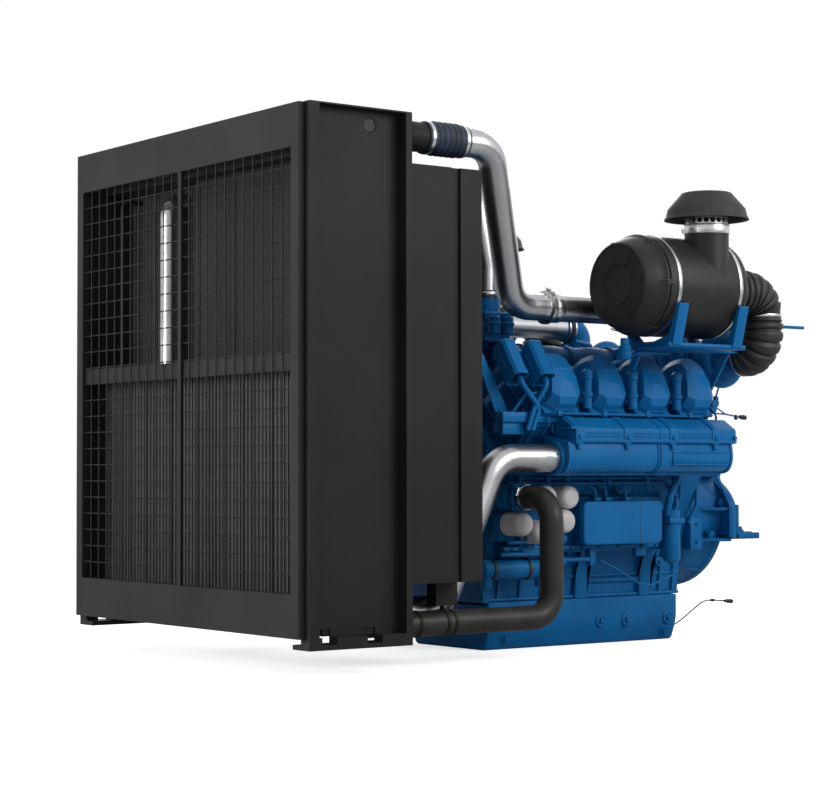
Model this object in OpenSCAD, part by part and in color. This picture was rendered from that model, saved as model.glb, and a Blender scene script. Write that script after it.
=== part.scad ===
// Drive engine of a generator set: a blue 90 degree V8 with its radiator package, no alternator.
// Millimetres. X runs from the radiator to the flywheel, Y to the engine's left side, Z up.
// The origin is on the floor under the middle of the whole set, which stands on its oil pan.
// Inside the modules X is counted from the front of the radiator guard.

/* [Overall] */
// Width of the radiator package over its side frames
radiator_w = 1750; // [1600:10:2150]
// Height of the radiator package from its feet to its top
radiator_h = 1990; // [1800:10:2420]
// Height of the radiator's feet over the underside of the oil pan
feet_rise = 106; // [60:1:140]
// Height of the crankshaft over the underside of the oil pan
crank_z = 580; // [560:5:640]
// Distance from the radiator package to the front of the crankcase
engine_gap = 836; // [700:1:1100]

/* [Radiator package] */
// Thickness of the box-section guard panel at the very front
guard_t = 32; // [20:1:50]
// Length of a side frame along X
side_frame_l = 462; // [380:1:600]
// Thickness of a side frame, lips included
side_frame_t = 56; // [40:1:80]
// Sheet left behind the pocket of a side frame
side_web_t = 6; // [3:1:12]
// Width of the front lip of a side frame
front_lip_w = 44; // [20:1:80]
// Width of the rear lip of a side frame
rear_lip_w = 28; // [15:1:60]
// Diameter of the lifting hole in a side frame
lifting_hole_d = 60; // [30:1:90]
// Thickness of a foot plate
foot_t = 18; // [10:1:40]
// Width of a foot plate along Y
foot_w = 110; // [80:1:300]
// Diameter of a bolt hole in a foot plate
foot_hole_d = 22; // [14:1:30]
// Inset of the guard panel's edge from the outside of the side frames
guard_inset = 24; // [0:1:60]
// Border of the guard panel beside the wire mesh
guard_side_border = 51; // [30:1:120]
// Border of the guard panel above and below the wire mesh
guard_end_border = 160; // [80:1:220]
// Thickness of a mesh wire
wire_t = 6; // [4:0.5:10]
// Mesh openings from side to side, an even number
mesh_cols = 24; // [8:2:30]
// Mesh openings from bottom to top
mesh_rows = 24; // [8:1:30]
// Width of the upright bar in the middle of the guard
guard_bar_w = 26; // [10:1:60]
// Distance from the guard's front to the lower core
lower_core_x = 126; // [80:1:200]
// Distance from the guard's front to the upper core
upper_core_x = 250; // [220:1:320]
// Thickness of each core
core_t = 160; // [100:1:220]
// Share of the package height at which the lower core ends
core_split = 0.541; // [0.4:0.001:0.7]
// Height of the header tank
top_tank_h = 155; // [100:1:220]
// Height of the bottom tank
bottom_tank_h = 144; // [100:1:170]

/* [Fan and shroud] */
// Length of the fan shroud behind the package
shroud_l = 351; // [250:1:420]
// Clearance from the feet to the underside of the shroud
shroud_low = 225; // [180:1:300]
// Distance from the top of the package down to the shroud
shroud_top_gap = 187; // [160:1:260]
// Wall of the shroud
shroud_wall = 20; // [8:1:40]
// Length of the shroud's ring over the blade tips
ring_l = 150; // [80:1:180]
// Wall of the shroud's ring
ring_wall = 12; // [6:1:20]
// Diameter of the fan over its blade tips
fan_d = 1400; // [900:10:1440]
// Gap between the blade tips and the shroud ring
tip_gap = 20; // [8:1:40]
// Number of fan blades
fan_blades = 8; // [5:1:11]

/* [Charge air] */
// Outside diameter of the charge-air pipes
charge_pipe_d = 114.3; // [80:0.1:140]
// Wall of the silicone charge hoses
charge_hose_wall = 11; // [5:0.5:16]
// Gap between an upper charge port and the side frame beside it
upper_port_gap = 1.85; // [0.5:0.05:80]
// Distance of the lower charge ports from the middle
lower_port_y = 560; // [480:1:570]
// Bend radius of the charge-air pipes
charge_bend_r = 150; // [120:1:200]

/* [Coolant pipes] */
// Outside diameter of the lower coolant hose
coolant_hose_d = 92; // [70:1:112]
// Gap between the lower coolant hose and the lower charge port beside it
coolant_hose_gap = 6.1; // [2:0.1:20]
// Outside diameter of the upper coolant pipe
upper_coolant_d = 89; // [60:1:110]

/* [Engine block] */
// Distance between neighbouring cylinders of a bank
cylinder_pitch = 253; // [235:1:310]
// Crankshaft to the top deck of a bank
deck_height = 500; // [460:5:540]
// Width of a cylinder head across the bank
head_w = 290; // [260:1:310]
// Height of a cylinder head
head_h = 150; // [100:1:180]
// Height of a rocker housing on its head
rocker_h = 70; // [40:1:100]
// Height of a rocker cover
cover_h = 128; // [80:1:160]
// Length of the flywheel housing
housing_l = 200; // [150:1:260]

/* [Air cleaners] */
// Outside diameter of an air cleaner body
cleaner_d = 420; // [340:1:510]
// Length of an air cleaner from its cap to its rear face
cleaner_l = 575; // [450:1:700]
// Distance of an air cleaner's axis from the middle
cleaner_y = 737; // [720:1:800]
// Outside diameter of the corrugated intake elbow
elbow_d = 190; // [150:1:230]
// Outside diameter of an air cleaner's inlet neck
neck_d = 184; // [140:1:220]
// Outside diameter of a rain cap
cap_d = 354; // [280:1:460]

/* [Drive flange] */
// Outside diameter of the flywheel housing flange
flange_d = 711.2; // [711.2]
// Pilot bore of the flywheel housing
pilot_d = 647.7; // [647.7]
// Bolt circle of the flywheel housing flange
flange_pcd = 679.45; // [679.45]
// Bolt holes in the flywheel housing flange
flange_holes = 16; // [16]
// Bolt hole diameter in the flywheel housing flange
flange_hole_d = 13; // [13]
// Depth of the pilot bore in the flywheel housing
pilot_depth = 14; // [6:1:15]
// Recess of the flywheel's face behind the housing flange
flywheel_recess = 16; // [16:1:60]
// Pilot bore of the flywheel
flywheel_pilot_d = 571.5; // [571.5]
// Bolt circle of the flywheel
flywheel_pcd = 542.92; // [542.92]
// Bolt holes in the flywheel
flywheel_holes = 6; // [6]
// Bolt hole diameter in the flywheel
flywheel_hole_d = 17; // [17]

/* [Hidden] */
$fn = 48;

blue = "#1d5f9e";
black = "#2b2b2d";
steel = "#c9ccd0";
rubber = "#3a3835";

// Radiator package
half_w = radiator_w / 2;
package_x = guard_t + side_frame_l;
package_top = feet_rise + radiator_h;
web_y = half_w - side_frame_t;
guard_y = half_w - guard_inset;
guard_z0 = feet_rise + 42;
guard_z1 = package_top - 4;
mesh_y = guard_y - guard_side_border;
mesh_z0 = guard_z0 + guard_end_border;
mesh_z1 = guard_z1 - guard_end_border;
split_z = feet_rise + core_split * radiator_h;
core_x1 = package_x - 8;
frame_z0 = feet_rise + foot_t;
core_z0 = frame_z0 + 28 + bottom_tank_h;
header_z0 = package_top - 10 - top_tank_h;
slot_z1 = frame_z0 + 54;

// Fan and shroud
shroud_y = half_w - 25;
shroud_z0 = feet_rise + shroud_low;
shroud_z1 = package_top - shroud_top_gap;
shroud_x1 = package_x + shroud_l;
fan_z = (shroud_z0 + shroud_z1) / 2;
fan_x = shroud_x1 - ring_l / 2;
ring_d = fan_d + 2 * tip_gap;

// Engine
block_x = package_x + engine_gap;
case_face_x = block_x - 40;
belt_x = case_face_x - 100;
first_cyl_x = block_x + 130;
last_cyl_x = first_cyl_x + 3 * cylinder_pitch;
block_x1 = last_cyl_x + 211;
flange_x = block_x1 + housing_l;
pan_h = 203;
pan_y = 275;
pan_x1 = block_x1 - 20;
pad_y = 400;
pad_x1 = block_x1 - 200;
gear_top = fan_z + 60;
alternator_y = 440;
alternator_z = crank_z - 100;
head_top = deck_height + head_h;
cover_base = head_top + rocker_h;

// Coolant
hose_port_z = feet_rise + 58;
pump_x = block_x + 20;
pump_z = crank_z + 65;
upper_coolant_y = 150;
upper_coolant_z = header_z0 + 45;
thermostat_x = block_x + 97;
thermostat_z = crank_z + 907;
thermostat_top = thermostat_z - 66;

// Air cleaners and turbochargers
cleaner_x0 = last_cyl_x - 580;
cleaner_x1 = cleaner_x0 + cleaner_l;
cleaner_z = crank_z + 939;
neck_x = cleaner_x1 - 172;
// The necks meet their bodies at a tangent, both on the side towards the engine's right
neck_shift = (cleaner_d - neck_d) / 2 - 4;
neck_top = cleaner_z + cleaner_d / 2 + 41;
function neck_y(side) = cleaner_y - side * neck_shift;
shelf_z = cleaner_z - cleaner_d / 2 - 43;
elbow_bend_r = 110;
elbow_x = cleaner_x1 + 264;
elbow_z = cleaner_z - 268;
elbow_end_y = cleaner_y - elbow_bend_r - 10;
turbo_x = elbow_x;
turbo_z = elbow_z;
turbo_outlet_d = charge_pipe_d + 10;
outlet_end_x = turbo_x - turbo_outlet_d / 2 - 7.85;

// Charge air
charge_hose_d = charge_pipe_d + 2 * charge_hose_wall;
upper_port_y = web_y - charge_pipe_d / 2 - upper_port_gap;
upper_port_z = package_top - 68;
lower_port_z = feet_rise + 102;
port_distance = (charge_pipe_d + coolant_hose_d) / 2 + coolant_hose_gap;
coolant_hose_y = lower_port_y + sqrt(pow(port_distance, 2) - pow(lower_port_z - hose_port_z, 2));
run_clearance = 14;
upper_run_z = crank_z + 853;
upper_run_y = cleaner_y - sqrt(pow(cleaner_d / 2 + charge_pipe_d / 2 + run_clearance, 2)
    - pow(cleaner_z - upper_run_z, 2));
manifold_y = 600;
manifold_x0 = first_cyl_x - 50;
manifold_x1 = last_cyl_x + 141;
manifold_z = crank_z + 225;

// Exhaust log of a bank, measured across and along its cylinders
log_w = 320;
log_h = 600;
log_d = 130;
log_y = (log_h - log_w) * cos(45);
log_z = crank_z + (log_h + log_w) * cos(45);
log_x1 = turbo_x - 150;

// Whole set
front_x = 0;
rear_x = flange_x + 145;
middle_x = (front_x + rear_x) / 2;

// Puts children, drawn from the guard's front, over the set's own origin
module at_set() {
    translate([-middle_x, 0, 0]) children();
}

// side = -1 for the engine's right, which is towards -Y, and 1 for its left
module on_side(side) {
    if (side > 0) mirror([0, 1, 0]) children();
    else children();
}

// The frame of one bank: Y runs outwards across the deck and Z up the cylinders, from the crankshaft
module on_bank(side) {
    on_side(side) translate([0, 0, crank_z]) rotate([45, 0, 0]) mirror([0, 1, 0]) children();
}

// A block between its lowest and highest corners
module block(a, b) {
    translate(a) cube(b - a);
}

// A round bar along X
module rod_x(x0, x1, y, z, d) {
    translate([x0, y, z]) rotate([0, 90, 0]) cylinder(h = x1 - x0, d = d);
}

// A round bar along Y, from y0 to a larger y1
module rod_y(x, y0, y1, z, d) {
    translate([x, y1, z]) rotate([90, 0, 0]) cylinder(h = y1 - y0, d = d);
}

// A round bar along Z
module rod_z(x, y, z0, z1, d) {
    translate([x, y, z0]) cylinder(h = z1 - z0, d = d);
}

// A profile of the Y-Z plane, extruded along X
module along_x(x0, x1) {
    translate([x0, 0, 0]) rotate([90, 0, 90]) linear_extrude(x1 - x0) children();
}

function unit(v) = v / norm(v);

// Any unit vector square to u
function across(u) = unit(abs(u.z) < 0.9 ? cross(u, [0, 0, 1]) : cross(u, [1, 0, 0]));

// Unit vector from a route's first leg towards the inside of its first bend
function inward(route) = let (u = unit(route[1] - route[0]), w = unit(route[2] - route[1]))
    unit(w - u * (u * w));

// A round pipe along route, with a bend of radius r at every inner point
module pipe(route, r, d) {
    u = unit(route[1] - route[0]);
    ex = len(route) > 2 ? inward(route) : across(u);
    ey = cross(u, ex);
    multmatrix([[ex.x, ey.x, u.x, route[0].x], [ex.y, ey.y, u.y, route[0].y],
                [ex.z, ey.z, u.z, route[0].z], [0, 0, 0, 1]])
        leg(route, r, d, 0);
}

// The route's first leg along +Z from start, its bend towards +X with a weld seam, then the rest
module leg(route, r, d, start) {
    whole = norm(route[1] - route[0]);
    if (len(route) == 2) cylinder(h = whole - start, d = d);
    else {
        u = unit(route[1] - route[0]);
        turn = acos(u * unit(route[2] - route[1]));
        cut = r * tan(turn / 2);
        rest = [for (i = [1 : len(route) - 1]) route[i]];
        ex = inward(route);
        ex_after = ex * cos(turn) - u * sin(turn);
        ex_next = len(rest) > 2 ? inward(rest) : ex_after;
        roll = atan2(ex_next * cross(u, ex), ex_next * ex_after);
        cylinder(h = whole - start - cut, d = d);
        translate([r, 0, whole - start - cut]) {
            rotate([90, 0, 0]) mirror([1, 0, 0]) rotate_extrude(angle = turn)
                translate([r, 0]) circle(d = d);
            rotate([0, turn, 0]) translate([-r, 0, 0]) rotate([0, 0, roll]) {
                translate([0, 0, -3]) cylinder(h = 6, d = d + 2);
                leg(rest, r, d, cut);
            }
        }
    }
}

// ---- Radiator package ----

module guard_frame() {
    color(black) at_set() {
        difference() {
            block([0, -guard_y, guard_z0], [guard_t, guard_y, guard_z1]);
            block([-1, -mesh_y, mesh_z0], [guard_t + 1, mesh_y, mesh_z1]);
        }
        block([2, -guard_bar_w / 2, mesh_z0], [14, guard_bar_w / 2, mesh_z1]);
    }
}

// Crossed wires on one side of the middle bar, each row lying behind the columns
module guard_mesh(side) {
    half = mesh_cols / 2;
    pitch_y = mesh_y / half;
    pitch_z = (mesh_z1 - mesh_z0) / mesh_rows;
    r = wire_t / 2;
    color(black) at_set() on_side(side) {
        for (i = [1 : half - 1])
            block([4, -i * pitch_y - r, mesh_z0], [4 + wire_t, -i * pitch_y + r, mesh_z1]);
        for (k = [1 : mesh_rows - 1])
            block([6, -mesh_y, mesh_z0 + k * pitch_z - r],
                  [6 + wire_t, -guard_bar_w / 2, mesh_z0 + k * pitch_z + r]);
    }
}

module guard_rail() {
    color(black) at_set() block([14, -mesh_y, split_z - 60], [46, mesh_y, split_z]);
}

module side_frame(side) {
    color(black) at_set() on_side(side) difference() {
        block([guard_t, -half_w, frame_z0], [package_x, -web_y, package_top]);
        block([guard_t + front_lip_w, -half_w - 1, frame_z0 + 28],
              [package_x - rear_lip_w, -web_y - side_web_t, package_top - 6]);
        rod_y(guard_t + 304, -half_w, -web_y + 1, package_top - 56, lifting_hole_d);
        for (x = [guard_t + 56, guard_t + 257])
            block([x, -half_w - 1, frame_z0 - 1], [x + 67, -web_y + 1, slot_z1]);
    }
}

module radiator_feet() {
    hole_y = -half_w + foot_w - 30;
    color(black) at_set() for (side = [-1, 1]) on_side(side) difference() {
        block([guard_t, -half_w, feet_rise], [package_x, -half_w + foot_w, frame_z0]);
        for (x = [guard_t + 90, package_x - 90])
            rod_z(x, hole_y, feet_rise - 1, frame_z0 + 1, foot_hole_d);
    }
}

module header_tank() {
    color(black) at_set() {
        block([lower_core_x, -web_y, header_z0], [package_x, web_y, package_top - 10]);
        for (side = [-1, 1]) on_side(side)
            rod_x(package_x - 4, package_x + 140, -upper_port_y, upper_port_z, charge_pipe_d);
        rod_x(package_x - 4, package_x + 40, -upper_coolant_y, upper_coolant_z, upper_coolant_d + 16);
    }
}

module bottom_tank() {
    color(black) at_set() {
        block([lower_core_x, -web_y, core_z0 - bottom_tank_h], [core_x1, web_y, core_z0]);
        for (side = [-1, 1]) on_side(side)
            rod_x(core_x1 - 10, package_x + 60, -lower_port_y, lower_port_z, charge_pipe_d + 16);
        block([core_x1 - 100, -coolant_hose_y - 30, frame_z0], [core_x1, -coolant_hose_y + 60, core_z0]);
        rod_x(core_x1 - 10, package_x + 60, -coolant_hose_y, hose_port_z, coolant_hose_d - 14);
    }
}

module lower_core() {
    color("#3a3a3c") at_set() block([lower_core_x, -web_y, core_z0], [lower_core_x + core_t, web_y, split_z]);
}

module upper_core() {
    color("#3a3a3c") at_set() block([upper_core_x, -web_y, split_z], [upper_core_x + core_t, web_y, header_z0]);
}

module cooler_baffle() {
    color("#46464a") at_set()
        block([upper_core_x - 50, -web_y, split_z], [upper_core_x, 209, header_z0]);
}

module core_pipes() {
    tube_x = lower_core_x + 44;
    vent_x = lower_core_x + 34;
    color(steel) at_set() {
        pipe([[tube_x, 370, split_z], [tube_x, 370, header_z0 - 60],
              [upper_core_x, 370, header_z0 - 60]], 70, 78);
        rod_z(tube_x, 370, split_z, split_z + 10, 86);
    }
    color(black) at_set()
        pipe([[vent_x, web_y - 74, split_z], [vent_x, web_y - 74, header_z0 - 25],
              [upper_core_x, web_y - 74, header_z0 - 25]], 30, 20);
}

// ---- Fan and its drive ----

module fan_shroud() {
    groove_x = package_x + 206;
    groove = 16;
    color(black) at_set() {
        difference() {
            block([package_x, -shroud_y, shroud_z0], [shroud_x1, shroud_y, shroud_z1]);
            block([package_x - 1, -shroud_y + shroud_wall, shroud_z0 + shroud_wall],
                  [shroud_x1 - shroud_wall, shroud_y - shroud_wall, shroud_z1 - shroud_wall]);
            rod_x(shroud_x1 - shroud_wall - 1, shroud_x1 + 1, 0, fan_z, ring_d);
            for (side = [-1, 1]) on_side(side)
                block([groove_x, -shroud_y - 1, shroud_z0 - 1],
                      [groove_x + 43, -shroud_y + groove - 4, shroud_z1 + 1]);
        }
        difference() {
            rod_x(shroud_x1 - ring_l, shroud_x1, 0, fan_z, ring_d + 2 * ring_wall);
            rod_x(shroud_x1 - ring_l - 1, shroud_x1 + 1, 0, fan_z, ring_d);
        }
    }
}

module fan() {
    hub_d = 360;
    color("#303033") at_set() translate([fan_x, 0, fan_z]) {
        rotate([0, 90, 0]) cylinder(h = 90, d = hub_d, center = true);
        for (i = [0 : fan_blades - 1])
            rotate([i * 360 / fan_blades, 0, 0]) rotate([0, 0, 32])
                translate([-80, -4, hub_d / 2 - 30]) cube([160, 8, fan_d / 2 - hub_d / 2 + 27]);
    }
}

module fan_drive() {
    color(blue) at_set() {
        rod_x(fan_x + 45, case_face_x, 0, fan_z, 110);
        rod_x(belt_x, belt_x + 50, 0, fan_z, 250);
    }
}

// A belt around two pulleys of diameters d0 and d1 at points a and b of the Y-Z plane
module belt(x0, x1, a, b, d0, d1) {
    clear = 0.3;
    along_x(x0, x1) difference() {
        hull() {
            translate(a) circle(d = d0 + 16, $fn = 96);
            translate(b) circle(d = d1 + 16, $fn = 96);
        }
        hull() {
            translate(a) circle(d = d0 + 2 * clear, $fn = 96);
            translate(b) circle(d = d1 + 2 * clear, $fn = 96);
        }
    }
}

module drive_belts() {
    color("#1c1c1c") at_set() {
        belt(belt_x + 8, belt_x + 42, [0, crank_z], [0, fan_z], 320, 250);
        belt(belt_x + 60, belt_x + 82, [0, crank_z], [alternator_y, alternator_z], 200, 90);
    }
}

// ---- Charge air ----

module charge_hoses() {
    color("#1f2f4a") at_set() for (side = [-1, 1]) on_side(side) difference() {
        rod_x(package_x + 132, package_x + 330, -upper_port_y, upper_port_z, charge_hose_d);
        rod_x(package_x + 131, package_x + 331, -upper_port_y, upper_port_z, charge_pipe_d);
    }
}

module upper_charge_pipe(side) {
    top = [package_x + 464, -upper_port_y, upper_port_z];
    low = [block_x - 28, -upper_run_y, upper_run_z];
    end = [outlet_end_x, -upper_run_y, upper_run_z];
    color(steel) at_set() on_side(side) {
        pipe([[package_x + 240, top.y, top.z], top, low, end], charge_bend_r, charge_pipe_d);
        rod_x(block_x + 140, block_x + 166, low.y, low.z, charge_pipe_d + 22);
    }
}

module lower_charge_pipe(side) {
    corner_x = shroud_x1 - 45 + charge_pipe_d / 2;
    color(steel) at_set() on_side(side)
        pipe([[package_x + 60, -lower_port_y, lower_port_z], [corner_x, -lower_port_y, lower_port_z],
              [block_x - 223, -manifold_y, manifold_z], [manifold_x0, -manifold_y, manifold_z]],
             charge_bend_r - 10, charge_pipe_d);
}

// Plenum beside the heads with its bolted cover, and a runner up to each head
module intake_manifold(side) {
    y_out = -manifold_y - 100;
    y_in = -manifold_y + 70;
    color(blue) at_set() on_side(side) {
        along_x(manifold_x0, manifold_x1) translate([0, manifold_z])
            polygon([[y_in, 90], [y_in - 75, 165], [y_out + 74, 171], [y_out, 120], [y_out, 60],
                     [y_out + 14, 54], [y_out + 4, 0], [y_out + 40, -50], [y_out + 90, -62], [y_in, -55]]);
        for (i = [0 : 3]) on_bank(-1)
            block([first_cyl_x + i * cylinder_pitch - 45, head_w / 2, deck_height + 20],
                  [first_cyl_x + i * cylinder_pitch + 45, head_w / 2 + 68, deck_height + 100]);
    }
}

// ---- Coolant ----

module lower_coolant_hose() {
    color(rubber) at_set()
        pipe([[package_x + 60, -coolant_hose_y, hose_port_z], [pump_x, -coolant_hose_y, hose_port_z],
              [pump_x, -coolant_hose_y, pump_z], [pump_x, -485, pump_z]], 100, coolant_hose_d);
}

module hose_hanger() {
    x0 = package_x + 248;
    top = hose_port_z + coolant_hose_d / 2;
    color(black) at_set() {
        block([x0, -coolant_hose_y - 30, top + 22], [x0 + 104, -coolant_hose_y + 30, shroud_z0]);
        difference() {
            block([x0 + 46, -coolant_hose_y - 8, top - 10], [x0 + 58, -coolant_hose_y + 8, top + 22]);
            rod_x(x0, x0 + 104, -coolant_hose_y, hose_port_z, coolant_hose_d);
        }
    }
}

module upper_coolant_pipe() {
    color(steel) at_set()
        pipe([[package_x + 40, -upper_coolant_y, upper_coolant_z],
              [thermostat_x - 75, -upper_coolant_y, upper_coolant_z],
              [thermostat_x, -upper_coolant_y, thermostat_z + 130],
              [thermostat_x, -upper_coolant_y, thermostat_z]], 120, upper_coolant_d);
}

module coolant_pump() {
    color(blue) at_set() difference() {
        union() {
            rod_y(pump_x, -485, -465, pump_z, 120);
            rod_y(pump_x, -466, -430, pump_z, 84);
            rod_y(pump_x, -431, -250, pump_z, 118);
        }
        case_body();
        gear_body();
    }
}

module thermostat_housing() {
    color(blue) at_set() {
        block([block_x, -110, gear_top - 60], [block_x + 130, 20, thermostat_top]);
        block([block_x, -260, log_z + log_d / 2 + 6], [block_x + 130, -109, thermostat_top]);
        rod_z(thermostat_x, -upper_coolant_y, thermostat_top - 1, thermostat_z, upper_coolant_d + 20);
    }
}

// ---- Block ----

module oil_pan() {
    color(blue) at_set() intersection() {
        along_x(block_x, pan_x1)
            polygon([[-pan_y + 35, 0], [-pan_y, 92], [-pan_y, pan_h], [pan_y, pan_h], [pan_y, 92],
                     [pan_y - 35, 0]]);
        translate([0, pan_y + 1, 0]) rotate([90, 0, 0]) linear_extrude(2 * pan_y + 2)
            polygon([[block_x, 0], [block_x, pan_h], [pan_x1, pan_h], [pan_x1, 12], [pan_x1 - 12, 0]]);
    }
}

// Half outline of the crankcase, from its underside out to the deck and in to the vee
function case_outline(side) = let (c = cos(45), w = head_w / 2 + 5)
    [[side * 250, pan_h - crank_z], [side * 265, -240], [side * 330, -20],
     [side * (deck_height + w) * c, (deck_height - w) * c],
     [side * (deck_height - w) * c, (deck_height + w) * c]];

// Crankcase with the pad on its right side, and two ribs on each side that run on from the pan
module case_body() {
    rib_w = 63;
    pad_z0 = crank_z - 170;
    along_x(block_x, block_x1) translate([0, crank_z])
        polygon(concat(case_outline(-1), [[-60, 290], [60, 290]],
                       [for (i = [4 : -1 : 0]) case_outline(1)[i]]));
    block([block_x + 40, -pad_y, pad_z0], [pad_x1, -270, crank_z + 60]);
    for (side = [-1, 1]) on_side(side) for (x = [block_x + 477, block_x + 849])
        along_x(x, x + rib_w)
            polygon([[-pan_y, pan_h], [-pan_y - 8, pan_h + 137], [-pan_y - 45, pad_z0], [-240, pad_z0],
                     [-240, pan_h]]);
}

module crankcase() {
    color(blue) at_set() case_body();
}

module gear_body() {
    top = gear_top - crank_z;
    along_x(case_face_x, block_x) translate([0, crank_z])
        polygon([[-285, pan_h - crank_z], [-330, -20], [-400, 180], [-160, 480], [-90, top], [90, top],
                 [160, 480], [400, 180], [330, -20], [285, pan_h - crank_z]]);
}

module gear_case() {
    color(blue) at_set() gear_body();
}

module crank_pulley() {
    color(black) at_set() {
        rod_x(belt_x, belt_x + 50, 0, crank_z, 320);
        rod_x(belt_x + 49, belt_x + 92, 0, crank_z, 200);
        rod_x(belt_x + 91, case_face_x, 0, crank_z, 120);
    }
}

module cylinder_heads(side) {
    color(blue) at_set() on_bank(side) for (i = [0 : 3])
        translate([first_cyl_x + i * cylinder_pitch, 0, 0]) {
            block([-113, -head_w / 2, deck_height], [113, head_w / 2, head_top]);
            block([-98, -head_w / 2 + 8, head_top - 1], [98, head_w / 2 - 8, cover_base]);
        }
}

// A faceted cover on each cylinder
module rocker_covers(side) {
    color(blue) at_set() on_bank(side) for (i = [0 : 3])
        translate([first_cyl_x + i * cylinder_pitch, 0, cover_base]) hull() {
            linear_extrude(15) octagon(92, head_w / 2 - 10, 42, 46);
            linear_extrude(0.49 * cover_h) translate([0, 6]) octagon(77, head_w / 2 - 18, 34, 46);
            linear_extrude(0.85 * cover_h) translate([0, -14]) octagon(64, head_w / 2 - 63, 38, 34);
            linear_extrude(cover_h) translate([0, -37]) octagon(50, head_w / 2 - 100, 28, 28);
        }
}

// An octagon of half sizes a and b, with its corners cut by cx and cy
module octagon(a, b, cx, cy) {
    polygon([[-a, cy - b], [cx - a, -b], [a - cx, -b], [a, cy - b],
             [a, b - cy], [a - cx, b], [cx - a, b], [-a, b - cy]]);
}

// Two breather boxes on a plate in front of the right bank
module breather_boxes() {
    top = [-530, crank_z + 684];
    slope = 33;
    box_l = 170;
    pitch = 138;
    color(blue) at_set() {
        for (k = [0, 1])
            translate([block_x - 123 + k * pitch, top.x, top.y]) rotate([-slope, 0, 0])
                translate([0, 0, -box_l]) linear_extrude(box_l) octagon(37, 46, 12, 12);
        along_x(case_face_x - 10, case_face_x)
            polygon([[-90, crank_z + 470], [-120, crank_z + 380], [top.x + 6, top.y - 90],
                     [top.x + 36, top.y - 40]]);
        along_x(block_x - 157, block_x + 49)
            polygon([[top.x + 18, top.y - 62], [top.x + 34, top.y - 52], [top.x + 6, top.y - 12],
                     [top.x - 10, top.y - 22]]);
    }
}

// ---- Exhaust and turbochargers ----

module exhaust_manifold(side) {
    color("#2f4f77") at_set() on_side(side) {
        rod_x(first_cyl_x - 60, log_x1, -log_y, log_z, log_d);
        for (i = [0 : 3]) on_bank(-1)
            translate([first_cyl_x + i * cylinder_pitch, -head_w / 2, log_h]) rotate([90, 0, 0])
                cylinder(h = log_w - head_w / 2, d = 76);
    }
}

// Turbine on the exhaust log, compressor on the intake elbow and its outlet up to the charge pipe
module turbocharger(side) {
    color(blue) at_set() on_side(side) {
        block([log_x1, -log_y - 65, log_z - 65], [turbo_x - 40, -log_y + 65, log_z + 65]);
        rod_y(turbo_x, -360, -180, turbo_z, 230);
        rod_y(turbo_x, -430, -359, turbo_z, 120);
        rod_y(turbo_x, -550, -429, turbo_z, 270);
        rod_y(turbo_x, -elbow_end_y, -549, turbo_z, 150);
        rod_z(turbo_x, -upper_run_y, turbo_z, upper_run_z, turbo_outlet_d);
        rod_x(outlet_end_x, turbo_x, -upper_run_y, upper_run_z, turbo_outlet_d);
        translate([turbo_x, -upper_run_y, upper_run_z]) sphere(d = turbo_outlet_d);
    }
}

// ---- Air intake ----

module air_cleaner(side) {
    r = cleaner_d / 2;
    color(black) at_set() on_side(side) {
        translate([cleaner_x0, -cleaner_y, cleaner_z]) rotate([0, 90, 0]) rotate_extrude()
            polygon([[0, 0], [r - 62, 0], [r - 46, 12], [r - 12, 68], [r, 72], [r, cleaner_l - 24],
                     [r - 24, cleaner_l], [0, cleaner_l]]);
        rod_z(neck_x, -neck_y(side), cleaner_z + 10, neck_top, neck_d);
    }
}

// Hood on its ring, with the clamp that holds it to the neck
module rain_cap(side) {
    r = cap_d / 2;
    color(black) at_set() on_side(side) translate([neck_x, -neck_y(side), neck_top]) {
        cylinder(h = 40, d = neck_d - 8);
        translate([0, 0, 28]) rotate_extrude()
            polygon([[0, 0], [r, 0], [r, 22], [r - 70, 114], [0, 114]]);
        difference() {
            translate([0, 0, -32]) cylinder(h = 40, d = neck_d + 8);
            translate([0, 0, -33]) cylinder(h = 33, d = neck_d);
        }
    }
}

// Shelf under an air cleaner with two saddles, on one leg between the heads and one behind them
module cleaner_bracket(side) {
    leg_x = first_cyl_x + 1.5 * cylinder_pitch - 21;
    saddle_w = 53;
    r = cleaner_d / 2;
    c = cos(45);
    color(blue) at_set() on_side(side) {
        block([leg_x - 20, -900, shelf_z - 8], [block_x1 - 60, -600, shelf_z]);
        difference() {
            for (x = [cleaner_x0 + 154, cleaner_x1 - 78])
                block([x, -cleaner_y - r - 6, shelf_z - 1], [x + saddle_w, -cleaner_y + r - 60, cleaner_z - 80]);
            rod_x(cleaner_x0, cleaner_x1, -cleaner_y, cleaner_z, cleaner_d);
        }
        along_x(leg_x, leg_x + 42)
            polygon([for (w = [20, 90]) [-(head_top + w) * c, crank_z + (head_top - w) * c],
                     [-690, shelf_z - 7], [-620, shelf_z - 7]]);
        along_x(block_x1 - 96, block_x1 - 60)
            polygon([for (w = [20, 90]) [-(deck_height + w) * c, crank_z + (deck_height - w) * c],
                     [-690, shelf_z - 7], [-630, shelf_z - 7]]);
    }
}

module intake_elbow(side) {
    color(rubber) at_set() on_side(side)
        pipe([[cleaner_x1, -cleaner_y, cleaner_z], [elbow_x, -cleaner_y, cleaner_z],
              [elbow_x, -cleaner_y, elbow_z], [elbow_x, -elbow_end_y, elbow_z]], elbow_bend_r, elbow_d);
}

// ---- Flywheel end ----

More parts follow.
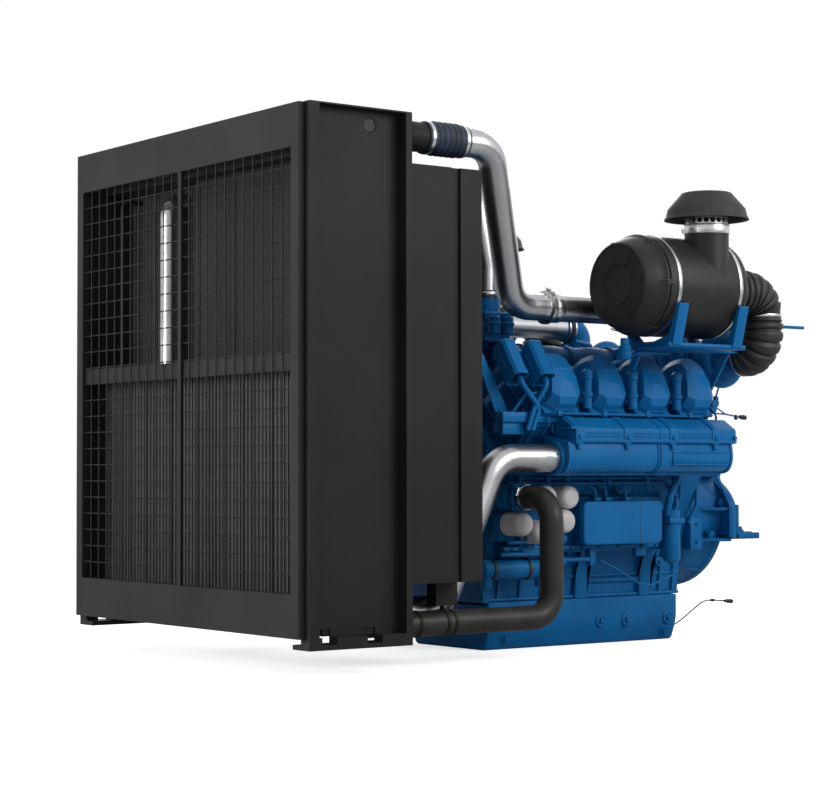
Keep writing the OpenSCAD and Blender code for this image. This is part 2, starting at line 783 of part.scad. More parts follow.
module flywheel_housing() {
    ears = [[300, 153], [392, 78], [430, 20], [430, -134]];
    color(blue) at_set() difference() {
        union() {
            rod_x(block_x1, flange_x, 0, crank_z, flange_d - 20);
            rod_x(flange_x - 28, flange_x, 0, crank_z, flange_d);
            along_x(flange_x - 28, flange_x) translate([0, crank_z])
                polygon(concat(ears, [for (i = [3 : -1 : 0]) [-ears[i].x, ears[i].y]]));
        }
        rod_x(block_x1 + 20, flange_x + 1, 0, crank_z, pilot_d - 16);
        rod_x(flange_x - pilot_depth, flange_x + 1, 0, crank_z, pilot_d);
        for (i = [0 : flange_holes - 1])
            translate([0, 0, crank_z]) rotate([(i + 0.5) * 360 / flange_holes, 0, 0])
                rod_x(flange_x - 29, flange_x + 1, 0, flange_pcd / 2, flange_hole_d);
    }
}

module flywheel() {
    face_x = flange_x - flywheel_recess;
    color("#55585c") at_set() difference() {
        union() {
            rod_x(face_x - 60, face_x, 0, crank_z, 610);
            rod_x(block_x1 + 20, face_x - 59, 0, crank_z, 240);
        }
        rod_x(face_x - 16, face_x + 1, 0, crank_z, flywheel_pilot_d);
        for (i = [0 : flywheel_holes - 1])
            translate([0, 0, crank_z]) rotate([i * 360 / flywheel_holes, 0, 0])
                rod_x(face_x - 61, face_x, 0, flywheel_pcd / 2, flywheel_hole_d);
    }
}

module rear_feet() {
    color(blue) at_set() for (side = [-1, 1]) on_side(side) difference() {
        union() {
            block([flange_x, -430, crank_z - 134], [rear_x, -365, crank_z - 106]);
            block([flange_x, -430, crank_z - 107], [flange_x + 14, -365, crank_z + 20]);
        }
        rod_z(rear_x - 50, -398, crank_z - 135, crank_z - 105, 22);
    }
}

// ---- Accessories ----

// Five spin-on cans, each centre given from the front of the block and the crankshaft
module fuel_filters() {
    spots = [[253, 63], [233, -37], [133, 64], [5, -46], [103, -80]];
    can_d = 98;
    color("#c8c4bf") at_set() for (p = spots) difference() {
        translate([block_x + p.x, -520, crank_z + p.y]) rotate([-90, 0, 0]) rotate_extrude()
            polygon([[0, 0], [can_d / 2 - 14, 0], [can_d / 2, 12], [can_d / 2, 230], [0, 230]]);
        case_body();
        gear_body();
    }
}

module oil_filter() {
    x = block_x1 - 220;
    color(blue) at_set() {
        rod_z(x, -450, crank_z - 226, crank_z - 56, 78);
        difference() {
            block([x - 45, -492, crank_z - 57], [x + 45, -290, crank_z - 32]);
            case_body();
        }
    }
}

module control_box() {
    r = 28;
    base_l = 62;
    color(blue) at_set() translate([block_x + 335, -pad_y, crank_z - 139]) rotate([90, 0, 0]) {
        translate([r, r, 0]) cube([448 - 2 * r, 184 - 2 * r, base_l + 1]);
        translate([0, 0, base_l]) linear_extrude(100 - base_l) {
            translate([r, 0]) square([448 - 2 * r, 184]);
            translate([0, r]) square([448, 184 - 2 * r]);
            for (x = [r, 448 - r], y = [r, 184 - r]) translate([x, y]) circle(r = r);
        }
    }
}

module oil_cooler() {
    z = crank_z - 234;
    color(blue) at_set() {
        rod_x(block_x - 140, block_x + 228, -385, z, 88);
        for (x = [block_x + 30, block_x + 170]) difference() {
            block([x, -385, z - 30], [x + 24, -250, z + 30]);
            case_body();
        }
    }
}

module starter() {
    color(black) at_set() difference() {
        union() {
            rod_x(block_x1 - 290, block_x1, 404, crank_z - 60, 150);
            rod_x(block_x1 - 250, block_x1 - 90, 440, crank_z + 45, 76);
            block([block_x1 - 230, 400, crank_z - 20], [block_x1 - 110, 440, crank_z + 30]);
        }
        case_body();
    }
}

module alternator() {
    color(steel) at_set() {
        rod_x(belt_x + 60, belt_x + 82, alternator_y, alternator_z, 90);
        rod_x(belt_x + 81, case_face_x + 1, alternator_y, alternator_z, 40);
        rod_x(case_face_x, block_x + 150, alternator_y, alternator_z, 170);
        difference() {
            block([block_x + 40, 280, alternator_z - 30], [block_x + 90, alternator_y, alternator_z + 30]);
            case_body();
        }
    }
}

module sensor_probe() {
    z = crank_z + 801;
    color(blue) at_set() difference() {
        union() {
            rod_x(elbow_x, elbow_x + 263, -cleaner_y, z, 14);
            rod_x(elbow_x, elbow_x + elbow_d / 2 + 22, -cleaner_y, z, 30);
        }
        rod_z(elbow_x, -cleaner_y, z - 30, z + 30, elbow_d);
    }
}

guard_frame();
guard_mesh(-1);  // guard_mesh_right
guard_mesh(1);  // guard_mesh_left
guard_rail();
side_frame(-1);  // side_frame_right
side_frame(1);  // side_frame_left
radiator_feet();
header_tank();
bottom_tank();
lower_core();
upper_core();
cooler_baffle();
core_pipes();
fan_shroud();
fan();
fan_drive();
drive_belts();
charge_hoses();
upper_charge_pipe(-1);  // upper_charge_pipe_right
upper_charge_pipe(1);  // upper_charge_pipe_left
lower_charge_pipe(-1);  // lower_charge_pipe_right
lower_charge_pipe(1);  // lower_charge_pipe_left
lower_coolant_hose();
hose_hanger();
upper_coolant_pipe();
coolant_pump();
thermostat_housing();
oil_pan();
crankcase();
gear_case();
crank_pulley();
cylinder_heads(-1);  // cylinder_heads_right
cylinder_heads(1);  // cylinder_heads_left
rocker_covers(-1);  // rocker_covers_right
rocker_covers(1);  // rocker_covers_left
breather_boxes();
intake_manifold(-1);  // intake_manifold_right
intake_manifold(1);  // intake_manifold_left
exhaust_manifold(-1);  // exhaust_manifold_right
exhaust_manifold(1);  // exhaust_manifold_left
turbocharger(-1);  // turbocharger_right
turbocharger(1);  // turbocharger_left
air_cleaner(-1);  // air_cleaner_right
air_cleaner(1);  // air_cleaner_left
cleaner_bracket(-1);  // cleaner_bracket_right
cleaner_bracket(1);  // cleaner_bracket_left
intake_elbow(-1);  // intake_elbow_right
intake_elbow(1);  // intake_elbow_left
rain_cap(-1);  // rain_cap_right
rain_cap(1);  // rain_cap_left
flywheel_housing();
flywheel();
rear_feet();
fuel_filters();
oil_filter();
control_box();
oil_cooler();
starter();
alternator();
sensor_probe();
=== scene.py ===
# Drive engine of a generator set with its radiator package: the finishes and the fine parts
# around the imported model. Millimetres inside the script, metres in Blender.
import math

import bpy
import numpy as np
from mathutils import Matrix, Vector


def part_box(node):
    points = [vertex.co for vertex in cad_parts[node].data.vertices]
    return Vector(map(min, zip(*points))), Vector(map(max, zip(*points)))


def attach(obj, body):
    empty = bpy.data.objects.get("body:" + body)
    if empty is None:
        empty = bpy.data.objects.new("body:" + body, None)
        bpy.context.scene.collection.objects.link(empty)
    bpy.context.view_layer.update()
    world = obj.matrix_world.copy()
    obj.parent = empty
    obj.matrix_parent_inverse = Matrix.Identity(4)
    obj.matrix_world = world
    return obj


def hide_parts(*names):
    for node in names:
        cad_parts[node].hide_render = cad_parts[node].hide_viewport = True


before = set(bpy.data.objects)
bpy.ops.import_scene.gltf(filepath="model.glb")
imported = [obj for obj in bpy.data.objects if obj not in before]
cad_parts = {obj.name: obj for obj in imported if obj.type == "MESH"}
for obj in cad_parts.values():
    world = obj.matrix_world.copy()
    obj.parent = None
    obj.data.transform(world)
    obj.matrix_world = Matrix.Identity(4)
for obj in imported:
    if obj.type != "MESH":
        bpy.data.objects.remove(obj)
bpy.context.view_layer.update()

# ---- Camera ----
# A long lens from beyond the front right corner, a little below the middle of the radiator, so
# that both the guard and the engine's right side show and upright edges stay nearly parallel.


def look_from(place, heading, rise, roll, lens):
    """A camera at place (m) that looks along (cos h cos r, sin h cos r, sin r), turned by roll about it.

    h is the heading and r the rise, both in radians like roll; lens is in mm on a 36 mm sensor.
    """
    axis = np.array([math.cos(heading) * math.cos(rise), math.sin(heading) * math.cos(rise), math.sin(rise)])
    level = np.array([math.sin(heading), -math.cos(heading), 0.0])
    upward = np.cross(level, axis)
    right = level * math.cos(roll) + upward * math.sin(roll)
    top = upward * math.cos(roll) - level * math.sin(roll)
    camera = bpy.data.objects.new("camera", bpy.data.cameras.new("camera"))
    camera.data.lens = lens
    camera.data.sensor_width = 36.0
    camera.matrix_world = Matrix(np.vstack([np.column_stack([right, top, -axis, place]),
                                            [0, 0, 0, 1]]).tolist())
    bpy.context.scene.collection.objects.link(camera)
    bpy.context.scene.camera = camera


look_from(place=(-5.6238, -7.2642, 0.7525), heading=0.93402, rise=0.03335, roll=-0.0017, lens=93.32)

# ---- Floor and light ----
# A white studio floor and background, with broad lamps over the front left corner, on the
# camera's side and behind. The sky is white in mirrors and dim on paint.


def linear(shade):
    """Linear red, green, blue and 1 from an sRGB hex colour: ((s + 0.055) / 1.055) ** 2.4 over the toe."""
    s = np.array([int(shade[k:k + 2], 16) for k in (1, 3, 5)]) / 255
    return (*np.where(s <= 0.04045, s / 12.92, ((s + 0.055) / 1.055) ** 2.4).tolist(), 1.0)


def add(tree, kind, inputs=None, **settings):
    """Adds a shader node with its settings; each input takes a value or another node's socket."""
    made = tree.nodes.new("ShaderNode" + kind)
    for name, value in settings.items():
        setattr(made, name, value)
    for key, value in (inputs or {}).items():
        if isinstance(value, bpy.types.NodeSocket):
            tree.links.new(value, made.inputs[key])
        else:
            made.inputs[key].default_value = value
    return made


def light_the_studio():
    """White sky, dim on paint but white in mirrors and to the camera, and three broad
    lamps aimed at the object."""
    scene = bpy.context.scene
    scene.view_settings.view_transform = "Standard"
    world = bpy.data.worlds.new("studio")
    scene.world = world
    world.use_nodes = True
    tree = world.node_tree
    tree.nodes.clear()
    path = add(tree, "LightPath")
    seen = add(tree, "Math", {0: path.outputs["Is Camera Ray"], 1: path.outputs["Is Glossy Ray"]},
               operation="MAXIMUM")
    clear = add(tree, "Math", {0: seen.outputs[0], 1: path.outputs["Is Transmission Ray"]},
                operation="MAXIMUM")
    strength = add(tree, "MapRange", {"Value": clear.outputs[0], "To Min": 0.5, "To Max": 1.0})
    sky = add(tree, "Background", {"Color": (1, 1, 1, 1), "Strength": strength.outputs[0]})
    out = add(tree, "OutputWorld")
    tree.links.new(sky.outputs[0], out.inputs[0])
    # each lamp: place (m), aim (m), width and height (m), watts
    lamps = (
        ("key", (-6.5, 0.5, 1.6), (-1.4, 0, 0.7), (3.0, 2.0), 300),
        ("side", (2.5, -6.0, 3.6), (0.6, 0, 0.9), (4.0, 3.0), 230),
        ("back", (4.5, 4.5, 4.0), (0, 0, 1.0), (3.0, 3.0), 160),
    )
    for name, place, aim, size, watts in lamps:
        lamp = bpy.data.lights.new(name, "AREA")
        lamp.shape = "RECTANGLE"
        lamp.size, lamp.size_y = size
        lamp.energy = watts
        holder = bpy.data.objects.new(name, lamp)
        away = np.array(place) - np.array(aim)
        z = away / np.linalg.norm(away)
        x = np.cross([0, 0, 1], z) / np.linalg.norm(np.cross([0, 0, 1], z))
        turned_to = np.column_stack([x, np.cross(z, x), z, place])
        holder.matrix_world = Matrix(np.vstack([turned_to, [0, 0, 0, 1]]).tolist())
        scene.collection.objects.link(holder)


def studio_floor(reach=30.0):
    """A square of reach metres at z = 0, near white under the object's shadow."""
    mesh = bpy.data.meshes.new("floor")
    corner = np.array([[-1, -1], [1, -1], [1, 1], [-1, 1]]) * reach
    mesh.from_pydata(np.column_stack([corner, np.zeros(4)]).tolist(), [], [(0, 1, 2, 3)])
    floor = bpy.data.objects.new("floor", mesh)
    bpy.context.scene.collection.objects.link(floor)
    paint = bpy.data.materials.new("studio_floor")
    paint.use_nodes = True
    tree = paint.node_tree
    tree.nodes.clear()
    path = add(tree, "LightPath")
    matt = add(tree, "BsdfDiffuse", {"Color": (0.86, 0.86, 0.86, 1)})
    glow = add(tree, "Emission", {"Color": (1, 1, 1, 1), "Strength": 0.66})
    lit = add(tree, "AddShader", {0: matt.outputs[0], 1: glow.outputs[0]})
    pale = add(tree, "BsdfDiffuse", {"Color": (0.55, 0.55, 0.55, 1)})
    mixed = add(tree, "MixShader", {0: path.outputs["Is Camera Ray"], 1: pale.outputs[0], 2: lit.outputs[0]})
    out = add(tree, "OutputMaterial")
    tree.links.new(mixed.outputs[0], out.inputs[0])
    mesh.materials.append(paint)


light_the_studio()
studio_floor()

# ---- Radiator guard ----
# A box-section panel of folded sheet around two fields of welded wire, powder coated black.
# The wires are round, each row lying behind the upright ones and fused to them.
BACK, LEFT, UP = (1, 0, 0), (0, 1, 0), (0, 0, 1)
FRONT, RIGHT, DOWN = (-1, 0, 0), (0, -1, 0), (0, 0, -1)


def mm_box(node):
    """Lowest and highest corner of a CAD node in millimetres."""
    low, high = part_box(node)
    return np.array(low) * 1000, np.array(high) * 1000


def unit(v):
    """The vector or vectors v at length 1."""
    v = np.asarray(v, float)
    return v / np.linalg.norm(v, axis=-1, keepdims=True)


def shell(points, *faces):
    """A closed skin of points and face tables, turned so that its volume is positive.

    The volume is the sum of a . (b x c) / 6 over its triangles.
    """
    points = np.asarray(points, float)
    middle = points - points.mean(0)
    volume = sum(
        np.einsum("ij,ikj->", middle[f[:, 0]], np.cross(middle[f[:, 1:-1]], middle[f[:, 2:]])) for f in faces
    )
    return points, [f if volume > 0 else f[:, ::-1] for f in faces]


def loft(rings, loop=False):
    """The skin over a stack of rings: point j of ring i is rings[i, j]. A stack that isn't a loop
    gets flat ends."""
    rings = np.asarray(rings, float)
    n, m = rings.shape[:2]
    i = np.arange(n if loop else n - 1)[:, None]
    j = np.arange(m)[None, :]
    up, on = (i + 1) % n, (j + 1) % m
    quads = np.stack([i * m + j, i * m + on, up * m + on, up * m + j], -1).reshape(-1, 4)
    if loop:
        return shell(rings.reshape(-1, 3), quads)
    ends = np.stack([np.arange(m)[::-1], np.arange(m) + (n - 1) * m])
    return shell(rings.reshape(-1, 3), quads, ends)


def copies(part, offsets):
    """The skin repeated at each offset."""
    points, faces = part
    offsets = np.asarray(offsets, float).reshape(-1, 3)
    step = (np.arange(len(offsets)) * len(points))[:, None, None]
    return (points + offsets[:, None]).reshape(-1, 3), [(f + step).reshape(-1, f.shape[1]) for f in faces]


def changed(part, rule):
    """The skin with every point moved by rule, its faces still outwards."""
    points, faces = part
    return shell(rule(points), *faces)


def across(axis):
    """Two unit vectors square to a unit axis and to each other."""
    helper = [0, 0, 1] if abs(axis[2]) < 0.9 else [1, 0, 0]
    e1 = unit(np.cross(helper, axis))
    return e1, np.cross(axis, e1)


def turned(profile, origin, axis=BACK, sides=48, loop=False, start=0.0):
    """A body of revolution: origin + s axis + r (cos a e1 + sin a e2) for each (s, r) of the
    profile, a from start."""
    axis = unit(axis)
    e1, e2 = across(axis)
    a = start + np.linspace(0, 2 * math.pi, sides, endpoint=False)
    round_it = np.outer(np.cos(a), e1) + np.outer(np.sin(a), e2)
    s, r = np.array(profile, float).T
    rings = np.array(origin, float) + s[:, None, None] * axis + np.maximum(r, 0.01)[:, None, None] * round_it
    return loft(rings, loop)


def inset(outline, d):
    """The closed outline moved inwards by d: each corner goes d (n1 + n2) / (1 + n1 . n2) along its
    edges' normals."""
    p = np.asarray(outline, float)
    ahead = np.roll(p, -1, 0) - p
    turn = np.sign(np.sum(p[:, 0] * np.roll(p[:, 1], -1) - np.roll(p[:, 0], -1) * p[:, 1]))
    n2 = unit(np.column_stack([-ahead[:, 1], ahead[:, 0]])) * turn
    n1 = np.roll(n2, 1, 0)
    return p + d * (n1 + n2) / (1 + np.sum(n1 * n2, 1, keepdims=True))


def rounded(outline, cut, steps=4):
    """Each corner p becomes the curve (1-t)^2 a + 2t(1-t) p + t^2 b between points a, b
    at distance cut from it."""
    p = np.asarray(outline, float)
    back, ahead = unit(np.roll(p, 1, 0) - p), unit(np.roll(p, -1, 0) - p)
    cut = np.broadcast_to(cut, len(p))[:, None, None]
    t = np.linspace(0, 1, steps + 1)[None, :, None]
    a, b = p[:, None] + cut * back[:, None], p[:, None] + cut * ahead[:, None]
    return ((1 - t) ** 2 * a + 2 * t * (1 - t) * p[:, None] + t ** 2 * b).reshape(-1, 2)


def plate(outline, thick, origin, u, v, edge=2.0, rounds=3):
    """The outline in the plane of u and v, thick along u x v, its edges rounded by quarter circles
    of radius edge."""
    u, v = np.array(u, float), np.array(v, float)
    a = np.linspace(0, math.pi / 2, rounds + 1)
    inward, depth = edge * (1 - np.sin(a)), edge * (1 - np.cos(a))
    inward, depth = np.append(inward, inward[::-1]), np.append(depth, thick - depth[::-1])
    flat = np.array([inset(outline, d) for d in inward])
    along = depth[:, None, None] * np.cross(u, v)
    rings = np.array(origin, float) + flat[..., :1] * u + flat[..., 1:] * v + along
    return loft(rings)


def brick(low, high, edge=2.0, rounds=2):
    """A rounded block between two corners."""
    low, high = np.minimum(low, high).astype(float), np.maximum(low, high).astype(float)
    size = high - low
    corners = [(0, 0), (size[0], 0), (size[0], size[1]), (0, size[1])]
    outline = rounded(corners, min(edge, size[0] / 3, size[1] / 3), rounds)
    return plate(outline, size[2], low, BACK, LEFT, min(edge, size[2] / 3), rounds)


def left_of(parts):
    """The same skins on the engine's left: y becomes -y."""
    return [changed(part, lambda p: p * [1, -1, 1]) for part in parts]


def make(name, parts, material, stands_for=(), slot=None, crease=35):
    """A piece of the object out of closed skins in millimetres, shaded smooth.

    Edges stay sharp where the faces turn by more than crease degrees. The slot of its material, or the
    one given, is looked up but not kept.
    """
    points, loops, sizes, first = [], [], [], 0
    for skin, faces in parts:
        points.append(skin)
        for f in faces:
            loops.append((f + first).ravel())
            sizes.append(np.full(len(f), f.shape[1]))
        first += len(skin)
    points, loops, sizes = np.concatenate(points) / 1000, np.concatenate(loops), np.concatenate(sizes)
    mesh = bpy.data.meshes.new(name)
    mesh.vertices.add(len(points))
    mesh.vertices.foreach_set("co", points.ravel().astype(np.float32))
    mesh.loops.add(len(loops))
    mesh.loops.foreach_set("vertex_index", loops.astype(np.int32))
    mesh.polygons.add(len(sizes))
    mesh.polygons.foreach_set("loop_start", np.concatenate([[0], np.cumsum(sizes)[:-1]]).astype(np.int32))
    mesh.update(calc_edges=True)
    mesh.validate()
    mesh.polygons.foreach_set("use_smooth", np.ones(len(mesh.polygons), bool))
    mesh.set_sharp_from_angle(angle=math.radians(crease))
    mesh.materials.append(material)
    made = bpy.data.objects.new(name, mesh)
    bpy.context.scene.collection.objects.link(made)
    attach(made, "root")
    slot or slot_of[material.name]
    if stands_for:
        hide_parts(*([stands_for] if isinstance(stands_for, str) else stands_for))
    return made


def both_sides(name, parts, material, stands_for=(), slot=None, crease=35):
    """One piece on the engine's right and its mirror image on the left, each standing for its own nodes."""
    for side, own in (("right", parts), ("left", left_of(parts))):
        make(f"{name}_{side}", own, material, [f"{n}_{side}" for n in stands_for], slot, crease)


slot_of = {}


def new_material(name, slot, **sockets):
    """A material for one of the record's slots.

    It has one Principled shader with its sockets set by name, and the Object coordinates for patterns.
    """
    material = bpy.data.materials.new(name)
    slot_of[material.name] = slot
    material.use_nodes = True
    tree = material.node_tree
    shader = tree.nodes["Principled BSDF"]
    for socket, value in sockets.items():
        shader.inputs[socket.replace("_", " ").title().replace("Ior", "IOR")].default_value = value
    return material, tree, shader, add(tree, "TexCoord").outputs["Object"]


def mottle(tree, where, dark, light, scale, detail=4.0, low=0.35, high=0.65):
    """A colour that drifts between two shades with a noise of that many waves per metre."""
    noise = add(tree, "TexNoise", {"Vector": where, "Scale": scale, "Detail": detail})
    span = add(tree, "MapRange", {"Value": noise.outputs["Fac"], "From Min": low, "From Max": high})
    mix = add(tree, "Mix", {0: span.outputs[0]}, data_type="RGBA")
    mix.inputs["A"].default_value, mix.inputs["B"].default_value = linear(dark), linear(light)
    return mix.outputs["Result"]


def grain(tree, where, shader, scale, height, strength=1.0, detail=3.0):
    """Bump of a noise of scale waves per metre and height in metres, laid over any bump already there."""
    noise = add(tree, "TexNoise", {"Vector": where, "Scale": scale, "Detail": detail})
    bump = add(tree, "Bump", {"Height": noise.outputs["Fac"], "Distance": height, "Strength": strength})
    old = shader.inputs["Normal"].links
    if old:
        tree.links.new(old[0].from_socket, bump.inputs["Normal"])
    tree.links.new(bump.outputs[0], shader.inputs["Normal"])
    return noise.outputs["Fac"]


def rough(tree, shader, source, low, high):
    """Roughness that follows a pattern from low to high."""
    span = add(tree, "MapRange", {"Value": source, "From Min": 0.3, "From Max": 0.7, "To Min": low,
                                  "To Max": high})
    tree.links.new(span.outputs[0], shader.inputs["Roughness"])


def finish(name, slot, dark, light, drift, skin, smooth, **sockets):
    """A painted or bare surface: a drifting colour, a skin of bumps and a roughness that follows them.

    The colour drifts between dark and light at drift waves per metre. The skin is given as waves per
    metre, height in metres and strength, and smooth is the range of the roughness.
    """
    material, tree, shader, where = new_material(name, slot, **sockets)
    tree.links.new(mottle(tree, where, dark, light, drift), shader.inputs["Base Color"])
    rough(tree, shader, grain(tree, where, shader, *skin), *smooth)
    return material


def powder_coat(name, slot, dark, light):
    """Polyester powder coat on sheet steel: a faint orange peel of 3 mm breaks up the sheen."""
    return finish(name, slot, dark, light, 3.0, (330.0, 0.0002, 0.5), (0.46, 0.58), specular_ior_level=0.14)


def dress(material, *names, slot=None):
    """Gives CAD nodes whose shape is right their finish."""
    for name in names:
        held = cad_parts[name]
        held.data.materials.clear()
        held.data.materials.append(material)
        slot or slot_of[material.name]


def guard_wires(wire=5.6):
    """Straight round bars: columns at i times the pitch from the middle bar, rows behind them."""
    low, high = mm_box("guard_mesh_right")
    columns, rows = 12, 24
    pitch_y, pitch_z = -low[1] / columns, (high[2] - low[2]) / rows
    upright = turned([(0, wire / 2), (high[2] - low[2], wire / 2)], (low[0] + 3, 0, low[2]), UP, 8)
    lying = turned([(0, wire / 2), (-low[1] - 10, wire / 2)], (low[0] + 7.5, low[1], low[2]), LEFT, 8)
    uprights = copies(upright, [[0, -i * pitch_y, 0] for i in range(1, columns)])
    return [uprights, copies(lying, [[0, 0, k * pitch_z] for k in range(1, rows)])]


black_coat = powder_coat("black_powder_coat", "black_paint", "#1e1e1e", "#242424")
dress(black_coat, "guard_frame", "guard_rail", "side_frame_right", "side_frame_left",
      "radiator_feet", "header_tank", "bottom_tank", "fan_shroud", "hose_hanger")
both_sides("guard_wires", guard_wires(), black_coat, ["guard_mesh"])

# ---- Fasteners of the radiator package ----
# Zinc-plated flange screws that hold the panel and side frames to the tanks. They were painted
# with the package, so they are as black as it is.


def ring_round(count, r, centre, start=0.0):
    """Places round an axis along X: centre + r (0, cos b, sin b), b going once round
    from start in count steps."""
    b = start + np.arange(count) * 2 * math.pi / count
    return np.array(centre, float) + r * np.column_stack([0 * b, np.cos(b), np.sin(b)])


def screws(places, axis, wide=17.0, head=9.0):
    """Hexagon heads on round flanges, standing out along axis at each place."""
    axis = unit(axis)
    e1, e2 = across(axis)
    a = np.arange(6) * math.pi / 3
    ring = wide / 2 / math.cos(math.pi / 6) * (np.outer(np.cos(a), e1) + np.outer(np.sin(a), e2))
    levels, grow = np.array([-1.0, head * 0.86, head]), np.array([1.0, 1.0, 0.86])
    hexagon = loft(levels[:, None, None] * axis + grow[:, None, None] * ring)
    flange = turned([(-1, wide * 0.66), (1.6, wide * 0.66), (2.6, wide * 0.55)], (0, 0, 0), axis, 16)
    return [copies(hexagon, places), copies(flange, places)]


def package_screws():
    """A row down the rear lip of each side frame."""
    low, high = mm_box("side_frame_right")
    return screws([[high[0], low[1] + 34, h] for h in np.linspace(low[2] + 90, high[2] - 90, 6)], BACK, 13, 6)


both_sides("package_screws", package_screws(), black_coat)

# ---- Cooler cores ----
# Brazed aluminium: upright flat tubes with folded fins between, blackened. The lower core is the
# charge-air cooler, with wide tubes; the upper is the radiator, with narrow ones.


def core_fins():
    """Folded aluminium fin under black paint, its level folds drawn 6 mm apart.

    The real folds of about 2.5 mm are too fine to show.
    """
    material, tree, shader, where = new_material("blackened_fins", "core_fins", roughness=0.55,
                                                 specular_ior_level=0.35)
    tree.links.new(mottle(tree, where, "#222224", "#2f2f32", 6.0), shader.inputs["Base Color"])
    fold = 6
    folds = add(tree, "TexWave", {"Vector": where, "Scale": 1000 / fold / 6.2832 * 2, "Distortion": 0.0},
                bands_direction="Z", wave_profile="SAW")
    bump = add(tree, "Bump", {"Height": folds.outputs["Fac"], "Distance": 0.0015, "Strength": 0.8})
    tree.links.new(bump.outputs[0], shader.inputs["Normal"])
    return material


fins = core_fins()
# Black paint on smooth extruded tube is a little glossier than on the fins.
tubes = finish("blackened_tubes", "core_fins", "#2a2a2c", "#343437", 9.0, (200.0, 0.0002, 0.4), (0.36, 0.5),
               specular_ior_level=0.45)
for core, pitch, wide in (("lower_core", 26.0, 9.0), ("upper_core", 13.0, 3.0)):
    low, high = mm_box(core)
    recess = np.array([5.0, 0, 0])
    make(core + "_fins", [brick(low + recess, high - recess, 1)], fins, core)
    count = int((high[1] - low[1] - 60) // pitch)
    first = (low[1] + high[1] - (count - 1) * pitch) / 2
    tube = brick((low[0], first - wide / 2, low[2]), (high[0], first + wide / 2, high[2]), 1.2, 1)
    frame_bars = [brick(low + [-1, 0, 0], (high[0] + 1, low[1] + 24, high[2]), 2),
                  brick((low[0] - 1, high[1] - 24, low[2]), high + [1, 0, 0], 2)]
    make(core + "_tubes", [copies(tube, [[0, k * pitch, 0] for k in range(count)])] + frame_bars, tubes)

# The sheet that closes the side of the radiator and keeps the air on its way through the core:
# flat, with a folded rim and a stiffening joggle.
low, high = mm_box("cooler_baffle")
dress(black_coat, "cooler_baffle", slot="baffle_sheet")
seams = [brick((low[0] - 2.5, y - 9, low[2] + 14), (low[0] + 1, y + 9, high[2] - 14), 2)
         for y in (low[1] + 60, (low[1] + high[1]) / 2 - 120, (low[1] + high[1]) / 2 + 210, high[1] - 30)]
rims = [brick((low[0] - 3, low[1], z - 12), (low[0] + 1, high[1], z + 12), 2)
        for z in (low[2] + 20, high[2] - 20)]
make("baffle_seams", seams + rims, black_coat, slot="baffle_sheet")

# ---- Pipes in front of the radiator ----
# A polished stainless riser from the charge-air cooler, welded to a flange at its foot, and a thin
# bent vent tube, powder coated black.


def route(points, r, step=9.0):
    """A line through points whose corners are arcs: centre - r cos t n + r sin t u, t from 0 to the
    turn between legs u and w."""
    p = np.array(points, float)
    path = [p[0]]
    for before, corner, after in zip(p[:-2], p[1:-1], p[2:]):
        u, w = unit(corner - before), unit(after - corner)
        turn = math.acos(np.clip(u @ w, -1, 1))
        n = unit(w - u * (u @ w))
        t = np.linspace(0, turn, max(4, int(r * turn / step)))[:, None]
        path.extend(corner - u * r * math.tan(turn / 2) + n * r - n * r * np.cos(t) + u * r * np.sin(t))
    path = np.array(path + [p[-1]])
    s = np.append(0, np.cumsum(np.linalg.norm(np.diff(path, axis=0), axis=1)))
    even = np.linspace(0, s[-1], int(s[-1] / step) + 2)
    return np.column_stack([np.interp(even, s, path[:, k]) for k in range(3)])


def sweep(path, radius, sides=32, loop=False):
    """A round skin along path: path + radius (cos a e1 + sin a e2), e1 and e2 square to
    the path's direction."""
    along = unit(np.gradient(path, axis=0))
    helpers = unit([[1, 0, 0], [0, 1, 0], [0, 0, 1], [1, 1, 1], [1, -1, 0.4], [-0.5, 1, 1]])
    helper = helpers[np.abs(along @ helpers.T).max(0).argmin()]
    e1 = unit(np.cross(along, helper))
    e2 = np.cross(along, e1)
    a = np.linspace(0, 2 * math.pi, sides, endpoint=False)[None, :, None]
    radius = np.broadcast_to(radius, len(path))[:, None, None]
    return loft(path[:, None] + radius * (np.cos(a) * e1[:, None] + np.sin(a) * e2[:, None]), loop)


# Polished 304 stainless tube is bright, with a faint grain of 4 mm that blurs its reflections.
stainless = finish("polished_stainless", "polished_steel", "#a9aaad", "#babbbd", 5.0, (240.0, 0.00006, 0.5),
                   (0.26, 0.34), metallic=1.0)
core_low, core_high = mm_box("lower_core")
foot_x, foot_y, foot_z = core_low[0] + 44, 370.0, core_high[2]
tank_z = mm_box("header_tank")[0][2]
baffle_x = mm_box("upper_core")[0][0]
riser = route([(foot_x, foot_y, foot_z), (foot_x, foot_y, tank_z - 60), (baffle_x, foot_y, tank_z - 60)], 70)
make("riser_pipe", [sweep(riser, 39), turned([(0, 43), (8, 43), (10, 41)], (foot_x, foot_y, foot_z), UP)],
     stainless, "core_pipes")
web = mm_box("side_frame_left")[0][1]
vent_x, vent_y = foot_x - 10, web - 74
vent_top = tank_z - 25
vent = route([(vent_x, vent_y, foot_z), (vent_x, vent_y, vent_top), (baffle_x, vent_y, vent_top)], 30, 5)
make("vent_pipe", [sweep(vent, 10, 16)] + screws([[vent_x, vent_y, foot_z + 2]], UP, 26, 14), black_coat)
